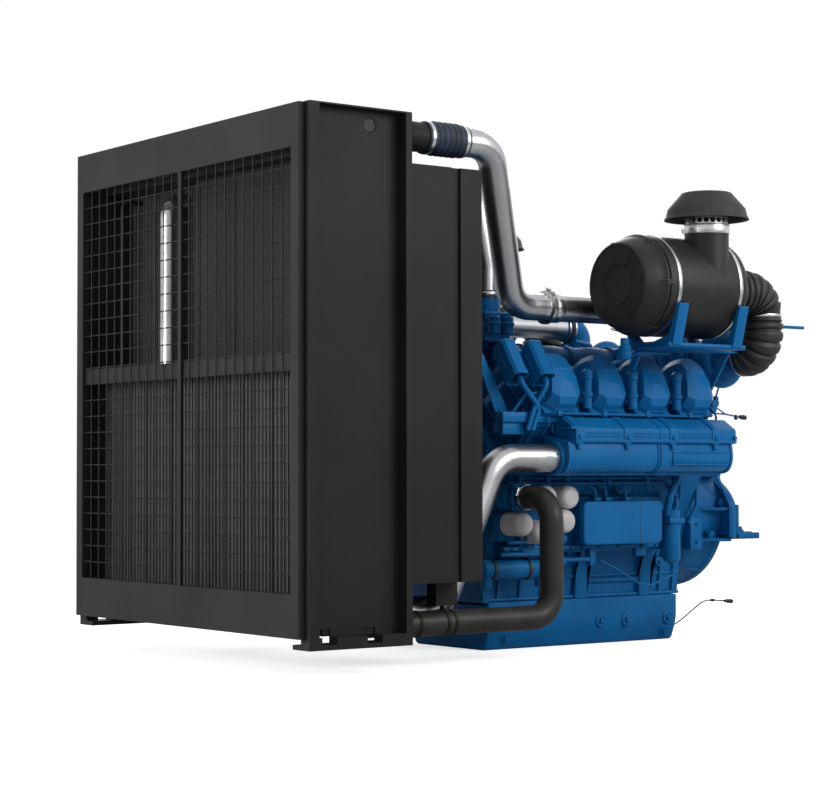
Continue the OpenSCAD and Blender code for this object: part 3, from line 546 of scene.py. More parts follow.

# ---- Lifting holes ----
# A round hole high in the web of each side frame takes a shackle. A shallow black cup with a turned
# lip plugs it: painted shade that stands for the dark inside of the hole.

# Black paint on sand-cast aluminium is matt, with the mould's grain of 2 mm.
black_casting = finish("painted_casting_black", "black_paint", "#1b1b1c", "#262628", 12.0,
                       (420.0, 0.0004, 0.6), (0.5, 0.66), specular_ior_level=0.4)
side_low, side_high = mm_box("side_frame_right")
# The cup's black floor is painted shade for the hole's dark inside.
cup = turned([(0.5, 0.01), (0.5, 24), (5, 30.2), (0, 30.2)], (side_low[0] + 304, -web, side_high[2] - 56),
             RIGHT, 40)
both_sides("lifting_hole_shade", [cup], black_casting)

# ---- Fan ----
# Cast aluminium blades with camber and twist, screwed with their disc hub to the fan drive and
# painted black.


def fan_blades(count=8):
    """Blades and hub. A section is (w/2 cos a, t/2 sin a + camber (1 - cos^2 a)), turned by a pitch
    that falls outwards."""
    low, high = mm_box("fan")
    centre, tip, hub = (low + high) / 2, (high[2] - low[2]) / 2, 178.0
    r = np.linspace(hub - 24, tip - 1, 14)[:, None]
    share = (r - hub) / (tip - hub)
    a = np.linspace(0, 2 * math.pi, 26, endpoint=False)[None, :]
    chord = 150 + 34 * np.sin(math.pi * np.clip(share, 0, 1) * 0.8)
    c, t = chord / 2 * np.cos(a), (11 - 5 * share) / 2 * np.sin(a) + 13 * (1 - np.cos(a) ** 2)
    pitch = np.radians(58 - 12 * share)
    x = c * np.sin(pitch) - t * np.cos(pitch)
    y = c * np.cos(pitch) + t * np.sin(pitch) - 26 * share ** 2
    x = np.clip(x, low[0] - centre[0], high[0] - centre[0])
    blades = []
    for k in range(count):
        turn = 2 * math.pi * k / count
        z = np.sqrt(np.maximum(r ** 2 - y ** 2, 1)) + 0 * a
        blades.append(loft(np.stack([x, y * math.cos(turn) - z * math.sin(turn),
                                     y * math.sin(turn) + z * math.cos(turn)], -1) + centre))
    dish = [(-45, 60), (-45, 150), (-38, hub - 8), (-30, hub), (34, hub), (42, hub - 6), (45, 150), (30, 146),
            (24, 118), (45, 112), (45, 30)]
    return blades + [turned(dish, centre, BACK, 64)] + screws(ring_round(6, 88, centre + [45, 0, 0]), BACK)


make("fan_wheel", fan_blades(), black_casting, "fan", slot="fan_casting")

# ---- Fan drive, crankshaft pulley and belts ----
# The fan turns on a bearing hub in front of the gear case, driven by a ribbed belt from the
# crankshaft damper; a narrower belt takes in the battery-charging alternator.


def engine_enamel(name, dark, light, coarse, height):
    """Blue enamel, sprayed over the assembled engine: satin, over a casting skin or smooth plate of
    the given grain."""
    material, tree, shader, where = new_material(name, "blue_paint", specular_ior_level=0.12)
    tree.links.new(mottle(tree, where, dark, light, 4.0), shader.inputs["Base Color"])
    skin = grain(tree, where, shader, coarse, height, 0.7)
    grain(tree, where, shader, 90.0, height * 1.5, 0.35)
    rough(tree, shader, skin, 0.34, 0.46)
    return material


cast_blue = engine_enamel("blue_enamel_on_iron", "#0a588e", "#0d629b", 460.0, 0.0005)
sheet_blue = engine_enamel("blue_enamel_on_plate", "#0c6099", "#0f67a3", 240.0, 0.00015)

fan_low, fan_high = mm_box("fan")
fan_z = (fan_low[2] + fan_high[2]) / 2
wheel_low, wheel_high = mm_box("flywheel")
crank_z = (wheel_low[2] + wheel_high[2]) / 2
case_face = mm_box("gear_case")[0][0]
belt_face = mm_box("crank_pulley")[0][0]


def grooves(start, r, count, pitch=6.0, deep=3.5):
    """A rim of count vee grooves: the radius falls by deep between crests a pitch apart."""
    k = np.arange(count)[:, None] * pitch + start
    falls = deep * np.array([[0, 1, 0]] * count)
    return np.stack([k + [0.6, pitch / 2, pitch - 0.6], r - falls], -1).reshape(-1, 2)


def fan_drive():
    """Bearing housing with a bolted foot, and a grooved pulley turned from one piece."""
    rim = [(0, 60), (0, 112), (2, 123), *grooves(6, 125, 6), (46, 123), (50, 112), (50, 60)]
    shaft = [(fan_high[0] - belt_face, 50), (fan_high[0] - belt_face + 10, 55), (-40, 55), (-34, 48), (0, 48)]
    foot = [(50, 55), (56, 62), (82, 62), (90, 90), (case_face - belt_face, 95)]
    at = (belt_face, 0, fan_z)
    ring = ring_round(6, 78, (case_face - 10, 0, fan_z))
    return [turned(rim, at), turned(shaft, at), turned(foot, at)] + screws(ring, FRONT)


make("fan_drive_hub", fan_drive(), cast_blue, "fan_drive")


def damper():
    """Viscous damper with a raised face, two grooved rims behind it and six screws in the middle."""
    rim = [(0, 40), (0, 70), (6, 74), (6, 96), (0, 100), (0, 152), (4, 158), *grooves(7, 160, 6), (46, 158),
           (50, 150), (50, 102), *grooves(55, 100, 4), (88, 96), (92, 60), (case_face - belt_face, 60)]
    at = (belt_face, 0, crank_z)
    return [turned(rim, at, BACK, 64)] + screws(ring_round(6, 55, at), FRONT, 19, 10)


make("crankshaft_damper", damper(), black_casting, "crank_pulley")

# Extruded rubber is charcoal and matt, with a bloom that greys it in patches of 10 cm.
rubber = finish("extruded_rubber", "black_rubber", "#1e1d1c", "#2a2928", 10.0, (500.0, 0.00015, 0.5),
                (0.4, 0.58), specular_ior_level=0.35)


def belt(x0, x1, a, b, r0, r1, thick=7.0):
    """A band round two pulleys: the arcs of radius r0 about a and r1 about b that meet
    their shared tangents."""
    a, b = np.array(a, float), np.array(b, float)
    way = math.atan2(b[1] - a[1], b[0] - a[0])
    lean = math.acos((r0 - r1) / np.linalg.norm(b - a))
    big = np.linspace(way + lean, way + 2 * math.pi - lean, 60)
    small = np.linspace(way - lean, way + lean, 30)
    out = np.concatenate([np.column_stack([np.cos(big), np.sin(big)]),
                          np.column_stack([np.cos(small), np.sin(small)])])
    inner = np.concatenate([a + r0 * out[:60], b + r1 * out[60:]])
    outer = inner + thick * out
    x = np.array([x0, x0 + 1, x1 - 1, x1, x1, x0])
    deep = np.array([0.8, 1, 1, 0.8, 0, 0])[None, :, None]
    flat = inner[:, None] * (1 - deep) + outer[:, None] * deep
    return loft(np.dstack([np.broadcast_to(x, flat.shape[:2]), flat[..., 0], flat[..., 1]]), loop=True)


charger = (440.0, crank_z - 100)
make("ribbed_belts", [belt(belt_face + 8, belt_face + 42, (0, crank_z), (0, fan_z), 160.3, 125.3),
                      belt(belt_face + 60, belt_face + 82, (0, crank_z), charger, 100.3, 45.3)],
     rubber, "drive_belts")

# ---- Charge-air hoses ----
# Silicone sleeves wrapped with fabric, dark blue, four humps between two constant-tension
# clamps; black powder-coated stubs with a bead lead into them from the header tank.


def clamp(at, axis, r, wide=14.0, screw_at=1.1):
    """A band with rolled edges, its worm housing and screw standing on it at angle screw_at
    (radians) round the axis."""
    axis = unit(axis)
    at = np.array(at, float)
    h = wide / 2
    rolled = [(-h, r + 0.3), (-h, r + 1.8), (-h + 1, r + 2.4), (h - 1, r + 2.4), (h, r + 1.8), (h, r + 0.3)]
    band = turned(rolled, at, axis, 56, loop=True)
    e1, e2 = across(axis)
    out = math.cos(screw_at) * e1 + math.sin(screw_at) * e2
    side = np.cross(axis, out)
    seat = at + out * (r + 1) - axis * h * 0.8 - side * 13
    box = plate(rounded([(0, 0), (26, 0), (26, wide * 0.8), (0, wide * 0.8)], 2, 2), 9, seat, side,
                axis, 1.5, 2)
    if np.dot(np.cross(side, axis), out) < 0:
        box = plate(rounded([(0, 0), (wide * 0.8, 0), (wide * 0.8, 26), (0, 26)], 2, 2), 9, seat, axis,
                    side, 1.5, 2)
    screw = turned([(-17, 4), (-17, 5.5), (17, 5.5), (17, 4)], at + out * (r + 7), side, 10)
    return [band, box, screw]


def wrapped_silicone():
    """Silicone hose cured under wrapped fabric: navy over charcoal, the tape's weave left as 4 mm
    crossed ridges."""
    material, tree, shader, where = new_material("fabric_wrapped_silicone", "navy_silicone",
                                                 specular_ior_level=0.4, roughness=0.55)
    tree.links.new(mottle(tree, where, "#17202d", "#1f3049", 35.0), shader.inputs["Base Color"])
    weave = add(tree, "TexWave", {"Vector": where, "Scale": 80.0, "Distortion": 0.5},
                bands_direction="DIAGONAL")
    bump = add(tree, "Bump", {"Height": weave.outputs["Fac"], "Distance": 0.0004, "Strength": 0.6})
    tree.links.new(bump.outputs[0], shader.inputs["Normal"])
    return material


silicone = wrapped_silicone()
# The rolled stainless band of hose clamps and straps is bright and fairly smooth.
bands = finish("rolled_stainless_band", "polished_steel", "#b9babc", "#d2d3d5", 30.0, (900.0, 0.00005, 0.4),
               (0.22, 0.34), metallic=1.0)
low, high = mm_box("charge_hoses")
hose_r = (high[2] - low[2]) / 2
charge_y, charge_z = low[1] + hose_r, (low[2] + high[2]) / 2
pipe_r = hose_r - 11
s = np.linspace(0, high[0] - low[0], 120)
middle = np.clip((s - 34) / (s[-1] - 68), 0, 1)
hump = 5.0 * np.sin(math.pi * 5 * middle) ** 2 * (middle > 0) * (middle < 1)
wall = np.column_stack([s, pipe_r + 5 + hump])
mouth = [(s[-1], pipe_r + 0.4), (0, pipe_r + 0.4)]
sleeve = turned([*wall, *mouth], (low[0], charge_y, charge_z), BACK, 56, loop=True)
both_sides("charge_hose", [sleeve], silicone)
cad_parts["charge_hoses"].hide_render = True
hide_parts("charge_hoses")
hose_clamps = sum([clamp((x, charge_y, charge_z), BACK, pipe_r + 5, 16, 0.6)
                   for x in (low[0] + 16, high[0] - 16)], [])
both_sides("charge_hose_clamps", hose_clamps, bands)
stub = turned([(0, pipe_r), (8, pipe_r + 7), (16, pipe_r + 7), (22, pipe_r + 1), (40, pipe_r + 1),
               (46, pipe_r + 5), (52, pipe_r + 5), (56, pipe_r + 1), (100, pipe_r + 1), (104, pipe_r)],
              (mm_box("header_tank")[1][0] - 140, charge_y, charge_z), BACK, 56)
both_sides("charge_stub", [stub], black_coat)

# ---- Charge-air pipes ----
# Polished stainless, mandrel bent. The upper pair brings hot air forward from the turbochargers,
# with a vee-band joint over the engine; the lower pair carries it back, cooled, to the manifolds.
bend_r = 150.0
pipe_start, run_end = mm_box("upper_charge_pipe_right")
run_z, run_y = pipe_start[2] + pipe_r + 11, mm_box("upper_charge_pipe_right")[1][1] - pipe_r - 11
block_low = mm_box("crankcase")[0]
package_x = mm_box("side_frame_right")[1][0]
upper_line = route([(package_x + 240, charge_y, charge_z), (package_x + 464, charge_y, charge_z),
                    (block_low[0] - 28, run_y, run_z), (run_end[0], run_y, run_z)], bend_r)


def vee_band(at, r):
    """Two flared flanges under a grooved band with a tee bolt through its ends."""
    at = np.array(at, float)
    flanges = turned([(-36, r), (-12, r + 1), (-5, r + 10), (5, r + 10), (12, r + 1), (36, r)], at, BACK, 64)
    band = turned([(-11, r + 4), (-9, r + 8), (-6, r + 14), (6, r + 14), (9, r + 8), (11, r + 4), (7, r + 5),
                   (4, r + 11), (-4, r + 11), (-7, r + 5)], at, BACK, 64, loop=True)
    out = at + [0, -(r + 16) * 0.5, (r + 16) * 0.86]
    side = np.array([0, 0.86, 0.5])
    lugs = [turned([(-5, 9), (5, 9)], out + side * d, side, 12) for d in (-14, 14)]
    bolt = turned([(-30, 4), (-30, 5), (34, 5), (34, 4)], out, side, 10)
    return [flanges, band, bolt] + lugs + screws([out + side * 20], side, 13, 9)


joint = (block_low[0] + 153, run_y, run_z)
collar = turned([(0, pipe_r), (0, pipe_r + 4), (3, pipe_r + 5.5), (37, pipe_r + 5.5), (40, pipe_r + 4),
                 (40, pipe_r)],
                (joint[0] + 24, run_y, run_z), BACK, 64)
both_sides("upper_charge_pipe", [sweep(upper_line, pipe_r, 56)], stainless, ["upper_charge_pipe"])
both_sides("charge_joint", vee_band(joint, pipe_r) + [collar], bands)

m_low, m_high = mm_box("intake_manifold_right")
manifold_z = crank_z + 225
lower_low = mm_box("lower_charge_pipe_right")[0]
corner_x = mm_box("fan_shroud")[1][0] - 45 + pipe_r
lower_y, lower_z, inlet_y = -560.0, lower_low[2] + pipe_r, -600.0
lower_line = route([(package_x + 60, lower_y, lower_z), (corner_x, lower_y, lower_z),
                    (block_low[0] - 223, inlet_y, manifold_z), (m_low[0], inlet_y, manifold_z)], bend_r - 10)
both_sides("lower_charge_pipe", [sweep(lower_line, pipe_r, 56)], stainless, ["lower_charge_pipe"])
elbow_sleeve = turned([(0, pipe_r + 6), (3, pipe_r + 7.5), (80, pipe_r + 7.5), (84, pipe_r + 6)],
                      (package_x + 26, lower_y, lower_z), BACK, 56)
both_sides("lower_charge_sleeve", [elbow_sleeve], silicone)
both_sides("lower_charge_clamps", clamp((package_x + 40, lower_y, lower_z), BACK, pipe_r + 7.5, 14, 2.2)
           + clamp((package_x + 98, lower_y, lower_z), BACK, pipe_r + 7.5, 14, 2.2), bands)

# ---- Coolant hose, hanger and pump ----
# A moulded EPDM hose from the foot of the radiator to the pump, in one length with two bends,
# held by clamps at its ends and hung from the shroud by a rubber-lined strap.

# Moulded EPDM is a warm charcoal with a soft sheen and the mould cloth's faint 2 mm texture.
hose_rubber = finish("moulded_rubber_hose", "black_rubber", "#2c2a28", "#35332f", 8.0, (520.0, 0.0002, 0.5),
                     (0.34, 0.48), specular_ior_level=0.22)
hose_low, hose_high = mm_box("lower_coolant_hose")
pump_low, pump_high = mm_box("coolant_pump")
hose_r = (hose_high[0] - (pump_low[0] + pump_high[0]) / 2)
pump_x, pump_z = hose_high[0] - hose_r, crank_z + 65
port_z, hose_y = hose_low[2] + hose_r, hose_low[1] + hose_r
coolant_line = route([(package_x + 60, hose_y, port_z), (pump_x, hose_y, port_z), (pump_x, hose_y, pump_z),
                      (pump_x, pump_low[1], pump_z)], 100)
swell = np.zeros(len(coolant_line))
for share in (0.0, 1.0):
    swell += 2.0 * np.exp(-((np.linspace(0, 1, len(swell)) - share) / 0.03) ** 2)
make("coolant_hose", [sweep(coolant_line, hose_r + 2 + swell, 48)], hose_rubber, "lower_coolant_hose")
hanger_low, hanger_high = mm_box("hose_hanger")
hanger_x = (hanger_low[0] + hanger_high[0]) / 2
make("coolant_hose_clamps",
     clamp((package_x + 78, hose_y, port_z), BACK, hose_r + 3, 13, 1.2)
     + clamp((pump_x, pump_low[1] - 22, pump_z), LEFT, hose_r + 3, 13, 0.4), bands)
make("coolant_hose_straps",
     [turned([(-7, hose_r), (-7, hose_r + 5), (7, hose_r + 5), (7, hose_r)], (x, hose_y, port_z), BACK,
             56, loop=True) for x in (hanger_x - 132, hanger_x + 38, hanger_x)]
     + [brick((hanger_x - 4, hose_y - 12, port_z + hose_r), (hanger_x + 4, hose_y + 12, hanger_low[2] + 14),
              2)]
     + screws([[hanger_x - 30, hose_y, hanger_high[2] - 2], [hanger_x + 30, hose_y, hanger_high[2] - 2]],
              DOWN),
     black_coat)


def pump_body():
    """Outlet flange with four screws, ribbed neck and volute on the face of the block."""
    at = (pump_x, pump_low[1], pump_z)
    neck = turned([(0, 60), (2, 62), (17, 62), (20, 58), (30, 44), (52, 42), (58, 56), (62, 59), (90, 60),
                   (96, 66), (230, 66)], at, LEFT, 48)
    ring = [[pump_x + 58 * math.cos(b), pump_low[1], pump_z + 58 * math.sin(b)]
            for b in (0.785, 2.356, 3.927, 5.498)]
    lugs = [turned([(0, 13), (18, 13), (20, 11)], p, LEFT, 20) for p in ring]
    return [neck] + lugs + screws(ring, RIGHT, 15, 9)


make("coolant_pump_body", pump_body(), cast_blue, "coolant_pump")

# ---- Upper coolant pipe and thermostat housing ----
# A thin stainless pipe forward to the header tank, sleeved and clamped to a cast iron housing
# that is screwed to the front of the vee and painted with the engine.
top_low, top_high = mm_box("upper_coolant_pipe")
thermo_low, thermo_high = mm_box("thermostat_housing")
top_r = 44.5
pipe_y = (top_low[1] + top_high[1]) / 2
thermo_x = block_low[0] + 97
header_z = mm_box("header_tank")[0][2] + 45
coolant_top = route([(package_x + 40, pipe_y, header_z), (thermo_x - 75, pipe_y, header_z),
                     (thermo_x, pipe_y, thermo_high[2] + 130), (thermo_x, pipe_y, thermo_high[2])], 120)
make("upper_coolant_line", [sweep(coolant_top, top_r, 40)], stainless, "upper_coolant_pipe")
make("upper_coolant_sleeves",
     [turned([(0, top_r + 6), (3, top_r + 7), (77, top_r + 7), (80, top_r + 6)],
             (package_x + 6, pipe_y, header_z))]
     + [turned([(0, top_r + 6), (3, top_r + 7), (77, top_r + 7), (80, top_r + 6)],
               (thermo_x, pipe_y, thermo_high[2] - 46), UP)], hose_rubber)
make("upper_coolant_clamps",
     clamp((package_x + 20, pipe_y, header_z), BACK, top_r + 7)
     + clamp((package_x + 70, pipe_y, header_z), BACK, top_r + 7)
     + clamp((thermo_x, pipe_y, thermo_high[2] - 32), UP, top_r + 7)
     + clamp((thermo_x, pipe_y, thermo_high[2] + 20), UP, top_r + 7), bands)


def thermostat_cover():
    """Flanged lid over the housing, two round pots for the thermostats and screws at its corners."""
    low, high = thermo_low, np.array([thermo_high[0], thermo_high[1], thermo_high[2] - 66])
    lid = brick((low[0] - 6, low[1] - 6, high[2] - 16), (high[0] + 6, high[1] + 6, high[2] + 2), 6, 3)
    corners = [[x, y, high[2] + 2] for x in (low[0] + 12, high[0] - 12)
               for y in (low[1] + 12, -60, high[1] - 12)]
    pot_x = (low[0] + 20, low[0] + 92)
    pots = [turned([(0, 27), (34, 27), (38, 30), (46, 30), (50, 26), (70, 25), (74, 20)],
                   (x, low[1] - 34, high[2] - 92), UP, 32) for x in pot_x]
    arms = [brick((x - 12, low[1] - 34, high[2] - 80), (x + 12, low[1] + 4, high[2] - 50), 4) for x in pot_x]
    return [lid] + pots + arms + screws(corners, UP, 15, 9)


dress(cast_blue, "thermostat_housing")
make("thermostat_cover", thermostat_cover(), cast_blue)

# ---- Oil pan ----
# A cast aluminium sump with a chamfered foot, screwed up to the crankcase from inside its
# rounded rim; ring bosses carry its hexagon plugs.
bx = block_low[0]
pan_high = mm_box("oil_pan")[1]


def prism(outline, x0, x1, edge=3.0, rounds=2):
    """An outline of the Y-Z plane carried from x0 to x1, its rims rounded."""
    return plate(outline, x1 - x0, (x0, 0, 0), LEFT, UP, edge, rounds)


def plugs(places, axis, r=24.0):
    """Round bosses, each with a washer and a hexagon plug, standing out along axis."""
    axis = unit(axis)
    ring = turned([(-20, r + 8), (3, r + 6), (5, r + 3), (5, r - 4), (2, r - 6)], (0, 0, 0), axis, 32)
    return [copies(ring, places)] + screws(np.array(places) + 2 * axis, axis, r, 11)


def oil_pan():
    """The pan's chamfered box, with drain plugs on its side and lower ones square to the chamfer."""
    wide, top = pan_high[1], pan_high[2]
    body = rounded([(35 - wide, 0), (-wide, 92), (-wide, top), (wide, top), (wide, 92), (wide - 35, 0)],
                   [18, 30, 6, 6, 30, 18])
    drains = [[bx + p, -wide, z] for p, z in ((625, 104), (777, 102), (1023, 101))]
    slope = unit([0, -92, -35])
    low_drains = [[bx + p, -wide + 35 * (92 - z) / 92, z] for p, z in ((105, 51), (1016, 40))]
    return [prism(body, bx, pan_high[0], 14, 4)] + plugs(drains, RIGHT) + plugs(low_drains, slope)


make("sump", oil_pan(), cast_blue, "oil_pan")

# ---- Crankcase and gear case ----
# Grey iron castings with ribs, core plugs, inspection covers and a rail for the fuel lines.
# The gear case on the front is closed by a ring of screws.
dress(cast_blue, "crankcase", "gear_case")


def cover(x, z, wide, tall, y, deep=12.0, corner=14.0):
    """A bolted cover plate on the engine's right side, y its outer face, with a raised middle."""
    outline = rounded([(0, 0), (wide, 0), (wide, tall), (0, tall)], corner)
    middle = rounded([(18, 18), (wide - 18, 18), (wide - 18, tall - 18), (18, tall - 18)], corner)
    seats = [[bx + x + p, y, z + q] for p in (11, wide / 2, wide - 11) for q in (11, tall - 11)]
    return [plate(outline, deep + 20, (bx + x, y + deep + 20, z), BACK, UP, 2, 2),
            plate(middle, 14, (bx + x, y + 6, z), BACK, UP, 4, 2)] + screws(seats, RIGHT, 12, 7)


def tube(points, r, bend=30.0, sides=12):
    """A bent tube through points given from the front of the crankcase."""
    return sweep(route(np.array(points, float) + [bx, 0, 0], bend, 5), r, sides)


def skirt():
    """The crankcase's lower side: faces on the two strong ribs, thin ribs, ledges and the pocket's lip."""
    face = rounded([(-236, 204), (-276, 204), (-284, 340), (-322, 412), (-236, 412)], [2, 4, 30, 4, 2])
    strong = [prism(face - [2, 0], bx + p - 3, bx + p + 66, 6, 4) for p in (477, 849)]
    web_line = rounded([(-240, 204), (-262, 204), (-276, 330), (-300, 408), (-250, 408)], 4)
    thin = [prism(web_line, bx + p - 6, bx + p + 6) for p in (60, 180, 300, 420, 980, 1060)]
    ledge = [brick((bx + 4, -268, z - 7), (bx + 1096, -240, z + 7), 4) for z in (212, 300)]
    lip = prism(rounded([(-246, 262), (-272, 268), (-276, 286), (-250, 290)], 4), bx + 540, bx + 849)
    return strong + thin + ledge + [lip]


def block_parts():
    """What stands on the crankcase's side: covers, slanting ribs, the line rail, core plugs and the
    lines themselves."""
    parts = skirt()
    parts += cover(330, 652, 170, 70, -400) + cover(600, 652, 120, 70, -400) + cover(60, 430, 150, 120, -404)
    slant = rounded([(-352, 640), (-372, 690), (-396, 742), (-352, 742), (-322, 640)], 6)
    parts.append(copies(prism(slant, bx + 20, bx + 32), [[k * 157.0, 0, 0] for k in range(7)]))
    parts += [brick((bx - 35, -424, 421), (bx + 831, -392, 440), 4),
              brick((bx + 430, -428, 352), (bx + 462, -392, 424), 5),
              brick((bx + 700, -420, 384), (bx + 760, -392, 424), 5)]
    parts += plugs([[bx + p, -284, 350] for p in (120, 240, 360, 960)], RIGHT, 15)
    parts += screws([[bx + p, -424, 430] for p in (10, 120, 240, 330, 600, 812)], RIGHT, 14, 9)
    # fuel and oil lines along the side, and the pipe up from the oil filter
    for line, r in (([(-20, -432, 700), (860, -432, 700), (900, -470, 640)], 9),
                    ([(40, -424, 722), (820, -424, 722), (840, -404, 760)], 6),
                    ([(-60, -430, 408), (250, -430, 408), (262, -430, 379), (420, -430, 379)], 10),
                    ([(-30, -440, 458), (60, -452, 458), (60, -452, 540), (-10, -452, 560)], 8),
                    ([(300, -425, 640), (300, -428, 760)], 12), ([(512, -425, 640), (512, -428, 760)], 9),
                    ([(846, -455, 560), (846, -480, 640), (900, -470, 720), (880, -440, 770)], 17),
                    ([(880, -450, 540), (915, -450, 600), (915, -420, 740)], 8),
                    ([(960, -350, 560), (980, -400, 640), (960, -420, 760)], 10)):
        parts.append(tube(line, r, 24))
    parts += [brick((bx + p, -446, 688), (bx + p + 16, -400, 732), 3) for p in (30, 180, 520, 740)]
    parts += [turned([(0, 20), (34, 20), (36, 16), (52, 16)], (bx + 240, -430, z), RIGHT, 20)
              for z in (379, 470)]
    return parts


make("block_fittings_right", block_parts(), cast_blue)
make("block_fittings_left", left_of(skirt()), cast_blue)


def gear_case_parts():
    """Screws round the front cover, a seal carrier round the crankshaft and two blanked bosses."""
    edge = np.array([(-270, 215), (-308, 380), (-318, 540), (-350, 640), (-384, 740), (-320, 835),
                     (-240, 945), (-160, 1040), (-92, 1150), (-60, 1250)], float)
    seats = [[case_face, s * y, z] for y, z in edge for s in (-1, 1)]
    carrier = turned([(-14, 96), (-14, 116), (-8, 122), (2, 122)], (case_face, 0, crank_z))
    rib = [brick((case_face - 10, s * 200 - 8, 860), (case_face + 2, s * 200 + 8, 930), 4) for s in (-1, 1)]
    bosses = [turned([(-16, 46), (-16, 58), (-10, 64), (2, 64)], (case_face, s * 210, 760), BACK, 32)
              for s in (-1, 1)]
    return screws(seats, FRONT, 16, 10) + [carrier] + rib + bosses


make("gear_case_screws", gear_case_parts(), cast_blue)

# ---- Cylinder heads and rocker covers ----
# One iron head for each cylinder, held down by studs, with a cast rocker housing and a faceted
# aluminium cover screwed on a gasket; all sprayed blue together.
half = math.sqrt(0.5)
covers_low, covers_high = mm_box("rocker_covers_right")
first_x, pitch = covers_low[0] + 92, (covers_high[0] - covers_low[0] - 184) / 3
at_cylinders = [[first_x + k * pitch, 0, 0] for k in range(4)]
deck, head_top, cover_base = 500.0, 650.0, 720.0


def on_bank(parts, offsets=at_cylinders):
    """Parts drawn as (x, w, h), w across the deck and h up the cylinder, turned on to the right bank.

    There y = -(h + w) / sqrt 2 and z = crank + (h - w) / sqrt 2.
    """
    return [changed(copies(part, offsets), lambda p: np.column_stack(
        [p[:, 0], -half * (p[:, 2] + p[:, 1]), crank_z + half * (p[:, 2] - p[:, 1])])) for part in parts]


def octagon(a, b, cx, cy):
    """A rectangle of half sides a and b whose corners are cut back by cx and cy."""
    return [(-a, cy - b), (cx - a, -b), (a - cx, -b), (a, cy - b), (a, b - cy), (a - cx, b), (cx - a, b),
            (-a, b - cy)]


def rocker_cover():
    """Rings of eight corners that move inwards as they rise, so the faces between them are flat facets.

    Each ring is (height, half width, inner end, outer end, corner cuts at either end).
    """
    levels = [(0, 92, -135, 135, (42, 46), (42, 46)), (14, 92, -135, 135, (42, 46), (42, 46)),
              (16, 85, -128, 133, (38, 42), (40, 32)), (44, 79, -124, 133, (34, 38), (38, 30)),
              (72, 75, -117, 119, (34, 34), (26, 24)), (108, 65, -98, 68, (33, 32), (38, 28)),
              (125, 54, -84, 10, (26, 32), (12, 14)), (128, 51, -81, 6, (25, 31), (11, 13))]
    rings = [[(-a, lo + ci[1], h), (ci[0] - a, lo, h), (a - ci[0], lo, h), (a, lo + ci[1], h),
              (a, hi - co[1], h), (a - co[0], hi, h), (co[0] - a, hi, h), (-a, hi - co[1], h)]
             for h, a, lo, hi, ci, co in levels]
    band = plate(rounded(octagon(89, 132, 42, 46), 6), 9, (0, 0, cover_base + 6), BACK, LEFT, 2)
    seats = [[x, w, cover_base + 14] for x, w in ((-76, -80), (76, -80), (-74, 88), (74, 88), (0, -126))]
    return [loft(np.array(rings) + [0, 0, cover_base]), band] + screws(seats, UP, 13, 8)


def head():
    """Head and rocker housing with their joint flanges, the intake port's flange and the studs round it."""
    body = [brick((-113, -145, deck), (113, 145, deck + 18), 4),
            brick((-108, -140, deck + 16), (108, 140, head_top - 12), 12),
            brick((-111, -143, head_top - 14), (111, 143, head_top), 4),
            brick((-98, -137, head_top), (98, 137, head_top + 12), 4),
            brick((-92, -131, head_top + 10), (92, 131, cover_base - 12), 10),
            brick((-98, -137, cover_base - 14), (98, 137, cover_base), 4)]
    port = [brick((-54, 138, deck + 14), (54, 156, deck + 108), 10),
            brick((-45, 150, deck + 22), (45, 213, deck + 98), 16)]
    corner = [turned([(0, 17), (head_top - deck - 6, 17), (head_top - deck, 13)], (x, w, deck), UP, 16)
              for x in (-104, 104) for w in (-112, 112)]
    studs = screws([[x, w, head_top] for x in (-105, 105) for w in (-126, -42, 42, 126)], UP, 12, 14)
    side = screws([[x, 156, deck + z] for x in (-46, 46) for z in (24, 98)], LEFT, 13, 9)
    return body + port + corner + studs + side


def head_lines():
    """Injector pipe and return line of one head, its sensor plug and the coolant riser beside it."""
    def bent(points, r, bend=16.0):
        """A thin line in the bank's own coordinates."""
        return sweep(route(points, bend, 4), r, 10)
    lines = [bent([(-70, 138, 690), (-70, 168, 690), (-70, 168, 606), (-20, 172, 596), (60, 172, 596)], 4.5),
             bent([(30, 138, 684), (30, 164, 684), (44, 164, 640), (96, 150, 628), (122, 132, 640)], 4.5),
             bent([(-34, 150, 664), (-34, 176, 640), (34, 176, 640), (34, 150, 664)], 5)]
    x = pitch / 2
    riser = [turned([(0, 22), (30, 22), (36, 27), (48, 27), (54, 20), (118, 20), (124, 27), (150, 28),
                     (176, 22), (184, 8)],
                    (x, 118, deck + 6), UP, 24),
             turned([(0, 15), (70, 15), (74, 19), (92, 19), (98, 10)], (x - 4, 40, deck + 90),
                    unit((0, 0.3, 1)), 20),
             turned([(0, 13), (150, 13), (154, 9)], (x + 2, -40, deck + 60), UP, 16),
             turned([(0, 19), (44, 19), (48, 24), (62, 24), (66, 19), (118, 19), (122, 23), (150, 23),
                     (162, 9)],
                    (x, 127, 738), unit((0, -1, 1)), 24)]
    link = [bent([(x, 118, deck + 150), (x, 60, deck + 206), (x - 46, 20, deck + 206)], 11, 24),
            bent([(x - 4, 64, deck + 175), (x - 4, 70, deck + 225), (x + 60, 60, deck + 230)], 7, 18)]
    plug = [brick((x - 22, 128, deck + 60), (x + 18, 166, deck + 100), 6),
            brick((60, 140, 560), (88, 168, 604), 5)]
    return lines + riser + link + plug


both_sides("heads", on_bank(head()), cast_blue, ["cylinder_heads"])
both_sides("cover", on_bank(rocker_cover()), sheet_blue, ["rocker_covers"], crease=16)
both_sides("head_lines", on_bank(head_lines(), at_cylinders[:3]), cast_blue)

